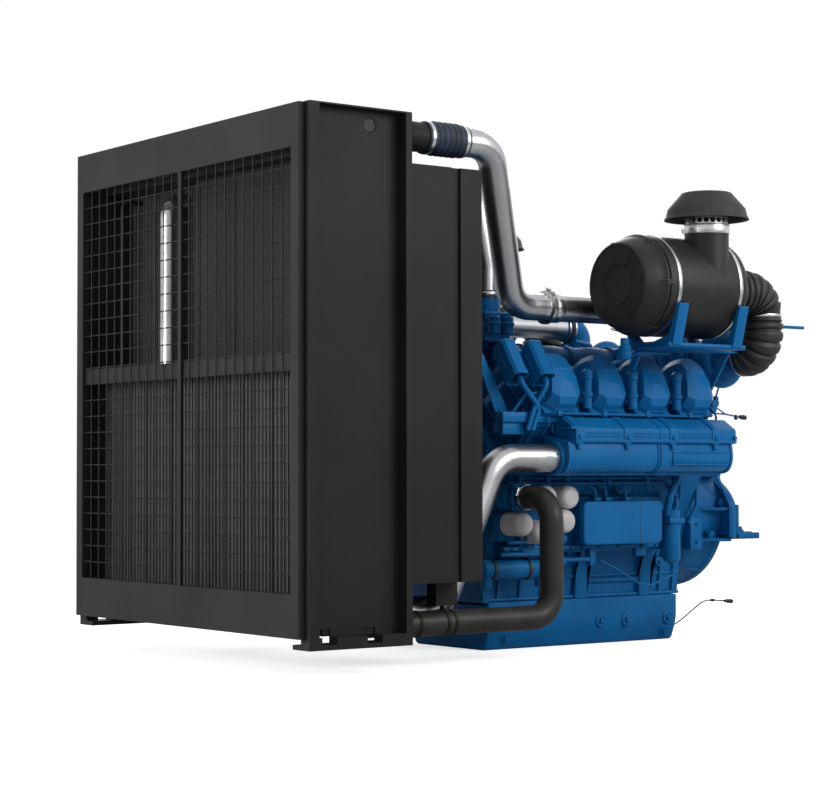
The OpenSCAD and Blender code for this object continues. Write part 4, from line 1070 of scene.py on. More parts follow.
# ---- Injector harness ----
# A loom in a braided sleeve runs beside the heads in four clips, with a branch to every cylinder.
# It was sprayed with the engine, and so was the lead along the sump.
loom = [tube([(-60, -560, 984), (119, -600, 988), (911, -600, 985), (1040, -560, 1010)], 7, 40)]
loom += [tube([(first_x - bx + k * pitch + d, -600, 988), (first_x - bx + k * pitch + d + 18, -588, 1000),
               (first_x - bx + k * pitch + d + 22, -560, 1034)], 4, 8, 8)
         for k in range(4) for d in (-60, 30)]
loom += [brick((bx + p, -612, 976), (bx + p + 26, -588, 1000), 4) for p in (100, 345, 590, 835)]
loom += [tube([(466, -450, 375), (560, -460, 330), (680, -460, 268), (753, -455, 259), (883, -450, 299)],
              4.5, 60, 8),
         tube([(1000, -560, 1040), (1010, -600, 990), (1040, -560, 940)], 5, 20, 8)]
make("injector_loom", loom, cast_blue)

# ---- Intake manifolds ----
# A cast plenum along each bank: a round-bellied body in two lengths under a bolted cover with
# four cast ribs, and a slotted boss on its front corner.
y_out, y_in = -700.0, -530.0


def plenum():
    """Belly and lid as outlines along the bank, with the lid's ribs, lips, screws, rear panel and boss."""
    belly = rounded([(y_in, 92), (y_in, -55), (y_out + 84, -62), (y_out + 30, -54), (y_out + 6, -8),
                     (y_out + 10, 40), (y_out + 14, 62)], [4, 22, 24, 24, 24, 14, 4], 6) + [0, manifold_z]
    lid = rounded([(y_out + 2, 62), (y_out, 72), (y_out, 122), (y_out + 74, 169), (y_in - 75, 163),
                   (y_in, 92), (y_in, 62)],
                  [3, 3, 8, 10, 10, 8, 3], 3) + [0, manifold_z]
    parts = [prism(belly, m_low[0] + 6, m_high[0] - 14, 14, 4), prism(lid, m_low[0] + 70, m_high[0], 5, 3)]
    parts += [prism(inset(belly, -6), bx + p, bx + p + w, 4)
              for p, w in ((84, 14), (578, 10), (594, 10), (m_high[0] - bx - 30, 14))]
    lip = rounded([(y_out - 5, 66), (y_out - 5, 78), (y_in + 2, 78), (y_in + 2, 66)], 2) + [0, manifold_z]
    parts.append(prism(lip, m_low[0] + 66, m_high[0] - 1, 2))
    for p in (137, 400, 658, 905):
        parts.append(prism(inset(lid, -5), bx + p - 21, bx + p + 21, 4))
        parts.append(prism(rounded([(y_out - 4, 60), (y_out - 4, 40), (y_out + 22, 22), (y_out + 22, 60)], 4)
                           + [0, manifold_z], bx + p - 8, bx + p + 8, 3))
    parts += [prism(inset(lid, -3), bx + 583, bx + 589, 1)]
    parts += [brick((bx + p, y_out - 3, manifold_z + q - 2), (bx + p + 190, y_out + 8, manifold_z + q + 2),
                    1.5, 1)
              for p in (172, 435, 690) for q in (90, 102)]
    parts += screws([[bx + p, y_out - 4, manifold_z + 87] for p in (137, 400, 658, 905, 1016)], RIGHT, 15, 9)
    parts += screws([[bx + p, y_in - 40, manifold_z + 140] for p in (137, 400, 658, 905)],
                    unit((0, 0.7, 0.7)), 15, 9)
    # the frame of the rear panel, the flange underneath and the slotted boss
    parts += [brick((bx + 665, y_out + 2, manifold_z + q - 3), (bx + 985, y_out + 22, manifold_z + q + 3), 2)
              for q in (26, -26)]
    parts.append(brick((bx + 662, y_out + 2, manifold_z - 28), (bx + 668, y_out + 20, manifold_z + 28), 2))
    parts.append(brick((bx + 90, y_out + 84, manifold_z - 72), (m_high[0] - 30, y_in, manifold_z - 52), 4))
    boss = [[bx + 97 + q, y_out + 40, manifold_z + 146] for q in (0, 59)]
    parts += [brick((bx + 92, y_out - 3, manifold_z + 118), (bx + 168, y_out + 70, manifold_z + 128), 4)]
    parts += [plate(rounded([(0, 0), (10, 0), (10, 78), (0, 78)], 3), 6, (b[0], y_out - 1, manifold_z + 121),
                    BACK, (0, 74 / 87.7, 47 / 87.7), 2) for b in boss]
    parts += screws([[bx + p, y_out + 10, manifold_z + 14] for p in (30, 48)], RIGHT, 9, 6)
    return parts


inlet = turned([(-8, pipe_r + 2), (-8, pipe_r + 12), (-2, pipe_r + 16), (14, pipe_r + 16), (20, pipe_r + 12)],
               (m_low[0], -600, manifold_z))
both_sides("plenum", plenum() + [inlet], sheet_blue, ["intake_manifold"])

# ---- Breather boxes ----
# Two six-sided sheet boxes on a slotted plate, their open ends facing down; a hose from each
# leads down to the front of the manifold.
tops = [(bx - 123.0, -530.0, crank_z + 684), (bx + 15.0, -530.0, crank_z + 684)]
lean = np.array([0, -math.sin(math.radians(33)), -math.cos(math.radians(33))])


def breathers():
    """Each box is a stack of eight-sided rings down the lean, turned in again at its open lower end."""
    sideways = np.cross(lean, [1, 0, 0])

    def level(top, s, outline):
        """The outline set square to the lean, s down it from the top."""
        return top + lean * s + np.outer(outline[:, 0], [1, 0, 0]) + np.outer(outline[:, 1], sideways)

    parts, hoses, shade_plugs = [], [], []
    for k, top in enumerate(tops):
        foot = np.array(top) + lean * 170
        edge = np.array(octagon(37, 46, 12, 12), float)
        steps = ((0, 3), (3, 0), (12, 0), (13, 2), (152, 2), (153, 0), (168, 0), (170, 2), (168, 5), (110, 5))
        parts.append(loft([level(top, s, inset(edge, d)) for s, d in steps]))
        # a black slab across the box's mouth, painted shade for its dark inside
        shade_plugs.append(loft([level(top, s, inset(edge, 5.3)) for s in (104, 112)]))
        slot = rounded([(-38, -7), (38, -7), (38, 7), (-38, 7)], 6)
        parts.append(plate(slot, 3, np.array(top) + lean * 82 - [39, 0, 0], lean, sideways, 1))
        end = np.array([bx - 20 - 26 * k, -590, 918])
        outlet = foot + [14 - 6 * k, 0, 0]
        hoses.append(sweep(route([outlet - lean * 50, outlet + lean * 20, end + [34 - 4 * k, -6, 90], end],
                                 40, 5), 11, 20))
        hoses.append(turned([(0, 15), (18, 15)], outlet - lean * 8, lean, 20))
    c = tops[0]
    back = prism(rounded([(-90, crank_z + 470), (-120, crank_z + 380), (c[1] + 6, c[2] - 90),
                          (c[1] + 36, c[2] - 40)], 12),
                 case_face - 10, case_face, 2)
    bar = prism([(c[1] + 18, c[2] - 62), (c[1] + 34, c[2] - 52), (c[1] + 6, c[2] - 12),
                 (c[1] - 10, c[2] - 22)],
                bx - 157, bx + 49, 3)
    shelf = [brick((bx - 164, -578, 950), (bx + 126, -530, 992), 5),
             brick((bx - 150, -560, 900), (bx - 40, -500, 952), 5)]
    arm = [plate(rounded([(0, 0), (70, 0), (-70, 250), (-110, 250)], 8), 8, (bx - 150, -512, 980),
                 BACK, UP, 2),
           tube([(-100, -560, 990), (-60, -590, 1060), (20, -600, 1075), (90, -560, 1010)], 6, 30)]
    slots = screws([[bx - 150 + 60 * i, -545, 993] for i in range(5)], UP, 14, 9)
    return parts + [back, bar] + shelf + arm + slots, hoses, shade_plugs


boxes, hoses, shade_plugs = breathers()
make("breathers", boxes, sheet_blue, "breather_boxes")
make("breather_hoses", hoses, sheet_blue)
# The black slabs in the boxes' open ends are painted shade for their dark insides.
make("breather_painted_shade", shade_plugs, black_casting)

# ---- Exhaust manifolds ----
# Nodular-iron logs over the vee, in four lengths with slip joints, a port flange on every head
# and a stub between; painted with the engine, so the blue has gone darker with the heat.

# Blue enamel over hot iron is darker and drier than the rest, with the casting's grain of 3 mm showing.
baked_blue = finish("baked_blue_enamel", "exhaust_casting", "#0c4472", "#0f5288", 8.0, (320.0, 0.0007, 0.8),
                    (0.5, 0.66), specular_ior_level=0.18)
log_end = mm_box("exhaust_manifold_right")[1][0]
log_w, log_h = -320, 600
log_y, log_z = -(log_h + log_w) * half, crank_z + (log_h - log_w) * half


def log_parts():
    """The log as one turned profile with a port band for each head and a slip joint
    between, and its ports."""
    steps = [(0, 52), (8, 60)]
    for k in range(4):
        s = first_x + k * pitch - (first_x - 60)
        steps += [(s - 50, 60), (s - 44, 64), (s + 44, 64), (s + 50, 60)]
        if k < 3:
            steps += [(s + 92, 60), (s + 94, 68), (s + 106, 68), (s + 108, 62), (s + 140, 62), (s + 144, 58)]
    end = log_end - (first_x - 60)
    steps += [(end - 22, 60), (end - 20, 70), (end, 70)]
    log = turned(steps, (first_x - 60, log_y, log_z), BACK, 40)
    port = [turned([(0, 46), (14, 46), (18, 38), (130, 38), (170, 44)], (0, -145, 600), RIGHT, 28),
            brick((-58, -161, 556), (58, -144, 644), 12)]
    studs = screws([[x, -161, h] for x in (-48, 48) for h in (566, 634)], RIGHT, 15, 12)
    return [log] + on_bank(port + studs)


both_sides("exhaust_log", log_parts(), baked_blue, ["exhaust_manifold"])

# ---- Turbochargers ----
# Iron turbine volute on the log, bearing housing, and an aluminium compressor volute whose
# outlet rises into the charge-air pipe through a hump hose.
elbow_high = mm_box("intake_elbow_right")[1]
cleaner_low, cleaner_high = mm_box("air_cleaner_right")
turbo_x = cleaner_high[0] + 264
turbo_z = crank_z + 671
cleaner_y, cleaner_z = -737.0, crank_z + 939


def volute(y0, y1, r, tube_r, side):
    """A scroll that coils once round the axis: its tube's radius is q = tube_r (0.35 + 0.65 t), its
    reach r - q, t from 0 to 1."""
    t = np.linspace(0, 1, 60)
    radius = tube_r * (0.35 + 0.65 * t)
    turn = side * (2 * math.pi * t - math.pi / 2)
    reach = r - radius
    path = np.column_stack([turbo_x + reach * np.cos(turn), np.full(60, (y0 + y1) / 2),
                            turbo_z + reach * np.sin(turn)])
    return sweep(path, radius, 24)


def turbo_parts():
    """Turbine, bearing housing and compressor on one shaft, both scrolls, the foot on
    the log and the oil lines."""
    centre = (turbo_x, 0, turbo_z)
    body = [turned([(360, 30), (356, 70), (340, 84), (240, 88), (200, 70), (182, 40)], centre, RIGHT, 48),
            turned([(552, 60), (546, 96), (520, 104), (452, 96), (436, 60)], centre, RIGHT, 48),
            turned([(340, 62), (436, 62)], centre, RIGHT, 32),
            turned([(428, 66), (428, 86), (438, 86), (438, 66)], centre, RIGHT, 40, loop=True),
            turned([(352, 66), (352, 82), (364, 82), (364, 66)], centre, RIGHT, 40, loop=True),
            turned([(540, 62), (612, 62), (614, 74), (626, 74)], centre, RIGHT, 40)]
    body += [volute(-235, -295, 115, 46, 1), volute(-470, -520, 134, 42, -1)]
    body += [brick((log_end - 2, log_y - 62, log_z - 62), (turbo_x - 44, log_y + 62, log_z + 62), 16, 4),
             brick((log_end, log_y - 66, log_z - 66), (log_end + 14, log_y + 66, log_z + 66), 6)]
    body += screws([[turbo_x + 54 * math.cos(b), -436, turbo_z + 54 * math.sin(b)]
                    for b in np.arange(6) * 1.047], RIGHT, 12, 8)
    feed = [(turbo_x + 20, -396, turbo_z + 40), (turbo_x + 20, -396, turbo_z + 100),
            (turbo_x - 140, -330, turbo_z + 110)]
    drain = [(turbo_x, -396, turbo_z - 50), (turbo_x, -396, turbo_z - 170),
             (turbo_x - 90, -350, turbo_z - 230)]
    return body + [sweep(route(feed, 30, 6), 9, 12), sweep(route(drain, 50, 6), 17, 16)]


both_sides("turbocharger_body", turbo_parts(), cast_blue, ["turbocharger"])
outlet = sweep(route([(turbo_x, run_y, turbo_z + 60), (turbo_x, run_y, run_z),
                      (run_end[0] - 40, run_y, run_z)], 62, 4), 58, 36)
both_sides("compressor_outlet", [outlet], sheet_blue)
hump = [(0, 62), (10, 62), (16, 66), (22, 70), (30, 66), (36, 62), (46, 62)]
both_sides("outlet_hose", [turned([(-34 + s, r) for s, r in hump], (run_end[0], run_y, run_z))],
           silicone)
both_sides("outlet_clamps", clamp((run_end[0] - 28, run_y, run_z), BACK, 62, 9)
           + clamp((run_end[0] + 8, run_y, run_z), BACK, 62, 9),
           bands)

# ---- Air cleaners ----
# Moulded polypropylene bodies with a twist-lock cap at the front: a raised rim, four ribs and
# six wire latches. Two steel straps hold each to its saddles.

# Glass-filled polypropylene is dark grey, with a spark texture of 1 mm and a low, drifting sheen.
moulding = finish("moulded_polypropylene", "black_plastic", "#232323", "#2b2a2a", 4.0, (700.0, 0.00012, 0.5),
                  (0.4, 0.52), specular_ior_level=0.22)
front = (cleaner_low[0], cleaner_y, cleaner_z)
length = cleaner_high[0] - cleaner_low[0]
r = 210.0
neck_x, neck_top = cleaner_high[0] - 172, cleaner_high[2]
necks = {"right": cleaner_y - (r - 96), "left": -cleaner_y - (r - 96)}
can = turned([(104, r - 16), (106, r - 11), (112, r - 9), (116, r - 2), (122, r - 1), (length - 60, r - 1),
              (length - 34, r - 3), (length - 16, r - 12), (length - 4, r - 30), (length, r - 60)], front,
             BACK, 96)
lid = turned([(4, 20), (3, 83), (0.5, 84), (0.5, 87), (3, 88), (3, r - 48), (0, r - 46), (0, r - 43),
              (4, r - 38), (14, r - 34), (34, r - 25), (62, r - 14), (84, r - 9), (90, r - 3), (94, r),
              (102, r), (104, r - 3), (105, r - 14)], front, BACK, 96)
ribs = [plate(rounded([(88, -2.5), (r - 47, -2.5), (r - 47, 2.5), (88, 2.5)], 1), 3,
              (front[0] + 4, cleaner_y, cleaner_z), (0, math.cos(b), math.sin(b)),
              (0, math.sin(b), -math.cos(b)), 1)
        for b in (0.0, 2.2, 3.14, 5.34)]
rear_tube = turned([(0, 99), (26, 99), (30, 96)], (cleaner_high[0] - 8, cleaner_y, cleaner_z), BACK, 64)


def latches():
    """A toggle with a wire loop over the lid's rim, at six places round it."""
    parts = []
    for b in np.arange(6) * math.pi / 3:
        out, side = np.array([0, -math.cos(b), math.sin(b)]), np.array([0, math.sin(b), math.cos(b)])
        root = np.array(front) + out * (r - 2)
        parts += [brick_along(root, side, out, (92, 138), 11, 3),
                  brick_along(root, side, out, (104, 132), 7, 5)]
        wire = [root + [128, 0, 0] + side * 8 + out * 3, root + [64, 0, 0] + side * 8 - out * 2,
                root + [64, 0, 0] - side * 8 - out * 2, root + [128, 0, 0] - side * 8 + out * 3]
        parts.append(sweep(route(wire, 6, 3), 1.8, 8))
    return parts


def brick_along(root, side, out, span, half_w, h):
    """A bevelled strip on the can: along its axis over span, half_w to each side, h proud of root."""
    lo, hi = span
    return plate(rounded([(lo, -half_w), (hi, -half_w), (hi, half_w), (lo, half_w)], 4), h, root, BACK,
                 side if np.dot(np.cross(BACK, side), out) > 0 else -side, 1)


cleaner_parts = [can, lid, rear_tube] + ribs
for side, y in necks.items():
    neck = turned([(10, 92), (neck_top - cleaner_z - 1, 92)], (neck_x, y, cleaner_z), UP, 72)
    own = cleaner_parts if side == "right" else left_of(cleaner_parts)
    make(f"cleaner_{side}", own + [neck], moulding, [f"air_cleaner_{side}"])
    wide_band = turned([(-32, 92.5), (-32, 95), (-29, 96), (5, 96), (8, 95), (8, 92.5)],
                       (neck_x, y, neck_top), UP, 72, loop=True)
    make(f"neck_clamp_{side}", [wide_band] + clamp((neck_x, y, neck_top - 12), UP, 93.5, 28, 3.6), bands)
both_sides("cleaner_latches", latches(), black_casting)
straps = [clamp((x, cleaner_y, cleaner_z), BACK, r - 1, 17, 0.7)
          for x in (front[0] + 164, cleaner_high[0] - 64)]
both_sides("cleaner_straps", sum(straps, []), bands)

# ---- Rain caps ----
# A hood spun from sheet steel and coated satin black, held over a bright perforated ring: the
# air goes in under its rim and through the round holes.
cap_low, cap_high = mm_box("rain_cap_right")
cap_r = (cap_high[1] - cap_low[1]) / 2


def perforated_ring(at, count=20):
    """The ring's wall between two hoops, as posts whose sides follow circles, so round holes stay
    open between them."""
    a = np.linspace(-0.5, 0.5, 9)
    waist = 0.5 - 0.39 * np.sqrt(np.maximum(1 - (2 * a) ** 2, 0))
    hole = 2 * math.pi / count
    posts = []
    for k in range(count):
        turns = k * hole + np.array([-1, 1])[:, None] * waist * hole * 0.98
        rings = [[(rad * math.cos(t), rad * math.sin(t), 22 + 22 * s)
                  for rad, t in ((88, lo), (88, hi), (85, hi), (85, lo))]
                 for s, lo, hi in zip(a, turns[0], turns[1])]
        posts.append(loft(np.array(rings) + at))
    hoops = [turned([(z0, 85), (z0, 89), (z1, 89), (z1, 85)], at, UP, 72, loop=True)
             for z0, z1 in ((-2, 11), (33, 44))]
    return posts + hoops


hood_coat = powder_coat("satin_black_coat", "black_plastic", "#3c3b3b", "#474646")
hood = [(142, 0.01), (142, 100), (139, 106), (135, 109), (75, cap_r - 16), (70, cap_r - 14), (50, cap_r - 9),
        (44, cap_r - 8), (36, cap_r - 3), (30, cap_r), (28, cap_r), (28, cap_r - 2), (34, cap_r - 8),
        (46, cap_r - 13), (70, cap_r - 20), (120, 98), (128, 0.01)]
for side, y in necks.items():
    at = (neck_x, y, neck_top)
    make(f"rain_hood_{side}", [turned(hood, at, UP, 72)], hood_coat, [f"rain_cap_{side}"])
    make(f"perforated_ring_{side}", perforated_ring(at), bands)
    # A black cylinder inside the perforated ring is painted shade for the cap's hollow, so its holes show
    # dark.
    make(f"ring_painted_shade_{side}", [turned([(0, 60), (44, 60)], at, UP, 40)], black_casting, slot="black_plastic")

# ---- Air-cleaner brackets ----
# Pressed steel shelves on two legs bolted to the heads, with saddles whose arms lean outwards up
# the can, painted blue. A small water trap hangs under each.


def bracket():
    """Shelf, saddles and legs of one side, with the trap and its hose under the shelf."""
    shelf = crank_z + 686
    leg_x = first_x + 1.5 * pitch - 21
    rear = cleaner_high[0] + 4
    parts = [brick((front[0] + 140, -900, shelf - 8), (rear, -600, shelf), 3),
             brick((front[0] + 140, -900, shelf - 8), (rear, -892, shelf + 12), 3),
             brick((leg_x - 20, -700, shelf - 7), (front[0] + 146, -610, shelf - 1), 3),
             brick((rear - 6, -700, shelf - 7), (bx + 1040, -610, shelf - 1), 3)]
    for x in (front[0] + 154, cleaner_high[0] - 78):
        parts.append(prism(rounded([(-906, shelf + 2), (-950, cleaner_z - 84), (-942, cleaner_z - 80),
                                    (-926, cleaner_z - 104), (-878, shelf + 44), (-790, shelf + 20),
                                    (-684, shelf + 20), (-640, shelf + 60), (-628, shelf + 54),
                                    (-650, shelf)], 4), x, x + 53, 2))
        parts += screws([[x + d, y, shelf + 2] for d in (14, 40) for y in (-880, -640)], UP, 14, 9)
    # one leg stands on top of a head, the other on the deck behind the last head
    for h, x in ((head_top, leg_x + 14), (deck, bx + 1012)):
        leg = [(-(h + w) * half, crank_z + (h - w) * half) for w in (30, 74)]
        parts.append(prism(leg + [(-676, shelf - 4), (-636, shelf - 4)], x, x + 12, 2))
    parts += screws([[leg_x + d, -655, shelf - 1] for d in (4, 36)], UP, 14, 9)
    # the water trap that hangs from the shelf beside the cap
    trap = [(0, 12), (4, 22), (18, 26), (20, 28), (34, 28), (36, 24), (58, 26.5), (60, 20), (90, 18)]
    parts += [turned(trap, (bx + 354, cleaner_y, crank_z + 628), UP, 32)]
    parts += [sweep(route([(bx + 360, -650, shelf - 70), (bx + 470, -700, shelf - 20),
                           (bx + 640, -700, shelf - 20)], 20, 6), 6, 10),
              turned([(0, 16), (22, 16), (26, 11), (40, 11)], (bx + 430, -600, shelf - 20), BACK, 20)]
    return parts


both_sides("cleaner_shelf", bracket(), sheet_blue, ["cleaner_bracket"])

# ---- Intake elbows ----
# Corrugated rubber from the back of each cleaner down and in to the compressor; the folds are
# 34 mm apart, with a plain cuff and a band at each end and one between the bends.
elbow_r, elbow_end = (elbow_high[0] - turbo_x), elbow_high[1]
elbow_line = route([(cleaner_high[0] + 2, cleaner_y, cleaner_z), (turbo_x, cleaner_y, cleaner_z),
                    (turbo_x, cleaner_y, turbo_z), (turbo_x, elbow_end, turbo_z)], 110, 2.2)
s = np.append(0, np.cumsum(np.linalg.norm(np.diff(elbow_line, axis=0), axis=1)))
plain = np.zeros(len(s))
for place, reach in ((0, 40), (s[-1], 34), (s[-1] * 0.56, 22)):
    plain = np.maximum(plain, np.clip(1.4 - np.abs(s - place) / reach, 0, 1))
groove = np.abs(np.cos(math.pi * s / 34)) ** 7
both_sides("intake_elbow", [sweep(elbow_line, elbow_r - 11 * np.maximum(groove, plain), 56)], rubber,
           ["intake_elbow"])
mid = np.abs(s - s[-1] * 0.56).argmin()
both_sides("elbow_bands", clamp((cleaner_high[0] + 18, cleaner_y, cleaner_z), BACK, elbow_r - 11, 14)
           + clamp(elbow_line[mid], UP, elbow_r - 10, 12, 3.6)
           + clamp((turbo_x, elbow_end - 14, turbo_z), LEFT, elbow_r - 11, 12), bands)
dress(sheet_blue, "sensor_probe")

# ---- Sump sensor lead ----
# A mineral-insulated lead in a drawn metal sheath from a gland low on the sump's rear corner. It
# keeps the shape it was bent to, and ends in a crimp and a moulded connector.

guard_face = mm_box("guard_frame")[0][0]


def from_front(points):
    """Points whose first number is counted backwards from the guard's front face."""
    return [(x + guard_face, y, z) for x, y, z in points]


# The drawn sheath is a dull grey-blue metal with a grain of 2 mm.
sheath = finish("drawn_metal_sheath", "bare_iron", "#3c4653", "#4a5664", 30.0, (500.0, 0.0002, 0.4),
                (0.4, 0.55), metallic=0.7)
probe_line = route(from_front([(2424, -206, 55), (2455, -208, 60), (2492, -215, 81), (2542, -225, 117),
                               (2589, -235, 150), (2619, -243, 164), (2650, -250, 164), (2718, -258, 159)]),
                   26, 6)
probe_end = from_front([(2718, -258, 159), (2766, -264, 155)])
make("sump_sensor_lead", [sweep(probe_line, 3.2, 14)], sheath)
along = unit(np.subtract(probe_end[1], probe_end[0]))
make("sump_sensor_ends", [turned([(0, 12), (8, 12), (10, 9), (20, 6), (26, 4)],
                                 from_front([(2424, -206, 55)])[0], unit((1, -0.06, 0.16)), 24),
                          turned([(0, 3), (10, 6), (18, 7), (22, 7), (30, 3)],
                                 from_front([(2636, -247, 164)])[0], (1, -0.2, 0), 24),
                          turned([(-2, 3), (0, 6), (12, 7), (16, 9), (44, 10), (47, 8)], probe_end[0], along,
                                 24)], moulding)

# ---- Rear harness tail ----
# A thin sleeved cable drops from the shelf to a sensor behind the last head. Two wires leave it,
# join and end past the engine in a moulded connector, with a smaller capped one at its neck.
tail = [tube([(1152, -500, 1266), (1145, -500, 1175), (1107, -500, 1080)], 4, 30, 10),
        tube([(1100, -502, 1034), (1126, -500, 1022), (1162, -500, 1003)], 3.2, 16, 10),
        tube([(1060, -520, 1004), (1110, -505, 1004), (1162, -500, 1002)], 3.6, 16, 10),
        tube([(1160, -500, 1003), (1210, -500, 996), (1250, -500, 992)], 3.6, 16, 10),
        turned([(0, 10), (14, 12), (16, 17), (34, 17), (36, 13), (52, 12), (58, 7)], (bx + 1098, -500, 1024),
               (0.16, 0, 1), 24),
        brick((bx + 1066, -520, 1010), (bx + 1094, -486, 1064), 6)]
make("rear_sensor_tail", tail, cast_blue)
along = unit((1, 0, -0.09))
make("rear_sensor_plugs", [turned([(0, 4), (4, 8), (16, 9), (20, 11), (40, 10), (44, 6)],
                                  (bx + 1248, -500, 992), along, 20),
                           turned([(0, 4), (3, 8), (18, 8), (22, 5)], (bx + 1226, -500, 1000), (0, -0.2, -1),
                                  20)], moulding)

# ---- Flywheel housing and rear feet ----
# An iron bell between the crankcase and the driven machine: machined flange with tapped holes,
# ribs over the bell, a mounting ear with gussets each side and the rear feet bolted on its face.
bell_low, bell_high = mm_box("flywheel_housing")
flange_x = bell_high[0]
flange_r, pilot_r, bolt_ring = 355.6, 323.85, 339.7
ear_y, ear_low, ear_high = 430.0, crank_z - 134, crank_z + 153


def flange_ring(x0, x1, outer, inner, holes, hole_r, at_r, sides=320):
    """A flat ring pierced by round holes: its annulus is cut in wedges, each a skin round its own hole."""
    wedge = 2 * math.pi / holes
    steps = sides // holes
    parts = []
    for k in range(holes):
        mid = (k + 0.5) * wedge + math.pi / 2
        t = np.linspace(mid - wedge / 2, mid + wedge / 2, steps // 2 + 1)
        rim = np.concatenate([outer * np.column_stack([np.cos(t), np.sin(t)]),
                              inner * np.column_stack([np.cos(t[::-1]), np.sin(t[::-1])])])
        centre = at_r * np.array([math.cos(mid), math.sin(mid)])
        way = np.arctan2(*(rim - centre).T[::-1])
        hole = centre + hole_r * np.column_stack([np.cos(way), np.sin(way)])
        ring = [np.column_stack([np.full(len(p), x), p[:, 0], p[:, 1] + crank_z]) for x, p in
                ((x0, hole), (x0, rim), (x1, rim), (x1, hole))]
        parts.append(loft(np.array(ring), loop=True))
    return parts


def bell():
    """The bell as a turned shell with its flange ring, ribs along it, an ear and
    gussets each side, and screws."""
    at = (bell_low[0], 0, crank_z)
    long = flange_x - bell_low[0]
    skin = turned([(2, 300), (0, 306), (0, 318), (10, 328), (60, 338), (long - 60, 343), (long - 30, 352),
                   (long - 27, flange_r - 1), (long - 26, flange_r), (long - 20, flange_r),
                   (long - 20, pilot_r - 8), (22, pilot_r - 8), (22, 300)],
                  at, BACK, 128, loop=True)
    back = turned([(2, 120), (2, 302), (20, 302), (20, 120)], at, BACK, 96, loop=True)
    parts = [skin, back] + flange_ring(flange_x - 21, flange_x, flange_r, pilot_r, 16, 6.5, bolt_ring)
    ribs = []
    for b in np.radians([52, 74, 106, 128, 232, 254, 286, 308]):
        out = np.array([0, math.cos(b), math.sin(b)])
        side = np.cross([1, 0, 0], out)
        ribs.append(plate([(8, 310), (long - 26, 330), (long - 26, 354), (long - 60, 352), (8, 332)], 14,
                          np.array(at) - side * 7, BACK, out, 3))
    for s in (-1, 1):
        ear = prism(rounded([(s * 300, ear_low), (s * ear_y, ear_low), (s * ear_y, crank_z + 20),
                             (s * 392, crank_z + 78), (s * 300, ear_high)], [4, 10, 30, 30, 6]),
                    flange_x - 28, flange_x, 4)
        line = [(flange_x - 34, s * y, z) for y, z in
                ((300, ear_high - 8), (388, crank_z + 70), (422, crank_z + 16), (422, ear_low + 8))]
        rim = sweep(route(line, 40, 5), 7, 12)
        gussets = [plate([(flange_x - 150, 0), (flange_x - 26, 0), (flange_x - 26, 84)], 14, (0, s * 338, z),
                         BACK, (0, s, 0), 3) for z in (ear_low + 4, crank_z + 8)]
        parts += [ear, rim] + gussets
        parts += screws([[flange_x - 28, s * y, z]
                         for y, z in ((378, ear_low + 26), (408, crank_z - 20), (366, crank_z + 86))],
                        FRONT, 18, 12)
    return parts + ribs + screws(ring_round(20, 312, (bell_low[0] + 12, 0, crank_z)), BACK, 15, 9)


def bell_fittings():
    """The plates on the bell's right side: inspection cover, sensor boss, lifting bracket and
    barring-hole plug."""
    flat = unit((0, -300.0, -110.0))
    parts = [brick((bx + 1091, -352, 399), (bx + 1165, -300, 546), 8),
             brick((bx + 1137, -372, 726), (bx + 1261, -300, 742), 5),
             plate(rounded([(0, 0), (124, 0), (124, 60), (0, 60)], 8), 10, (bx + 1137, -362, 742),
                   BACK, UP, 3)]
    parts += screws([[bx + 1128, -352, z] for z in (515, 435)] + [[bx + p, -372, 738] for p in (1160, 1236)],
                    RIGHT, 16, 9)
    parts += [turned([(0, 30), (44, 30), (48, 26), (56, 26)], (bx + 1278, -330, 607), RIGHT, 28),
              turned([(0, 22), (30, 22), (34, 17)], (bx + 1216, -330, 470), flat, 24)]
    parts += [tube([(1060, -360, 800), (1100, -380, 700), (1100, -380, 600), (1060, -370, 520)], 9, 40),
              tube([(1180, -330, 830), (1200, -376, 760), (1278, -386, 640)], 5, 30, 8)]
    return parts


make("bell_housing", bell(), cast_blue, "flywheel_housing")
make("bell_fittings", bell_fittings(), cast_blue)


def rear_foot():
    """An angle with a thickened root, the screws that hold it to the ear and a washer round its hole."""
    low, high = mm_box("rear_feet")
    pad_z = crank_z - 106
    parts = [brick((flange_x, -ear_y, low[2]), (high[0], -365, pad_z), 4),
             brick((flange_x, -ear_y, low[2]), (flange_x + 16, -365, crank_z + 20), 4)]
    parts.append(brick((flange_x, -ear_y + 4, low[2] + 2), (flange_x + 52, -369, pad_z + 14), 6))
    bolts = screws([[flange_x + 16, -398, z] for z in (crank_z - 60, crank_z - 4)], BACK, 22, 13)
    bolts += screws([[flange_x + 34, y, pad_z + 14] for y in (-412, -384)], UP, 22, 14)
    bolts.append(turned([(0, 24), (4, 24), (4, 12), (0, 12)], (high[0] - 50, -398, pad_z), UP, 28, loop=True))
    return parts + bolts


make("rear_foot_right", rear_foot(), cast_blue, "rear_feet")
make("rear_foot_left", left_of(rear_foot()), cast_blue)

# ---- Flywheel ----
# Turned iron, left bare on its face, with a steel ring gear shrunk on and six tapped holes for
# the clutch or coupling of the driven machine.


def bare_iron():
    """Machined grey iron under preservative: fine turning rings of 1 mm round the crankshaft,
    drifting in gloss."""
    material, tree, shader, where = new_material("turned_iron", "bare_iron", metallic=1.0)
    tree.links.new(mottle(tree, where, "#6d6d6c", "#85837f", 14.0), shader.inputs["Base Color"])
    centred = add(tree, "VectorMath", {0: where, 1: (0, 0, crank_z / 1000)}, operation="SUBTRACT")
    rings = add(tree, "TexWave", {"Vector": centred.outputs[0], "Scale": 320.0, "Distortion": 0.0},
                wave_type="RINGS", rings_direction="X")
    bump = add(tree, "Bump", {"Height": rings.outputs["Fac"], "Distance": 0.00006, "Strength": 0.6})
    tree.links.new(bump.outputs[0], shader.inputs["Normal"])
    rough(tree, shader, rings.outputs["Fac"], 0.28, 0.42)
    return material


iron = bare_iron()


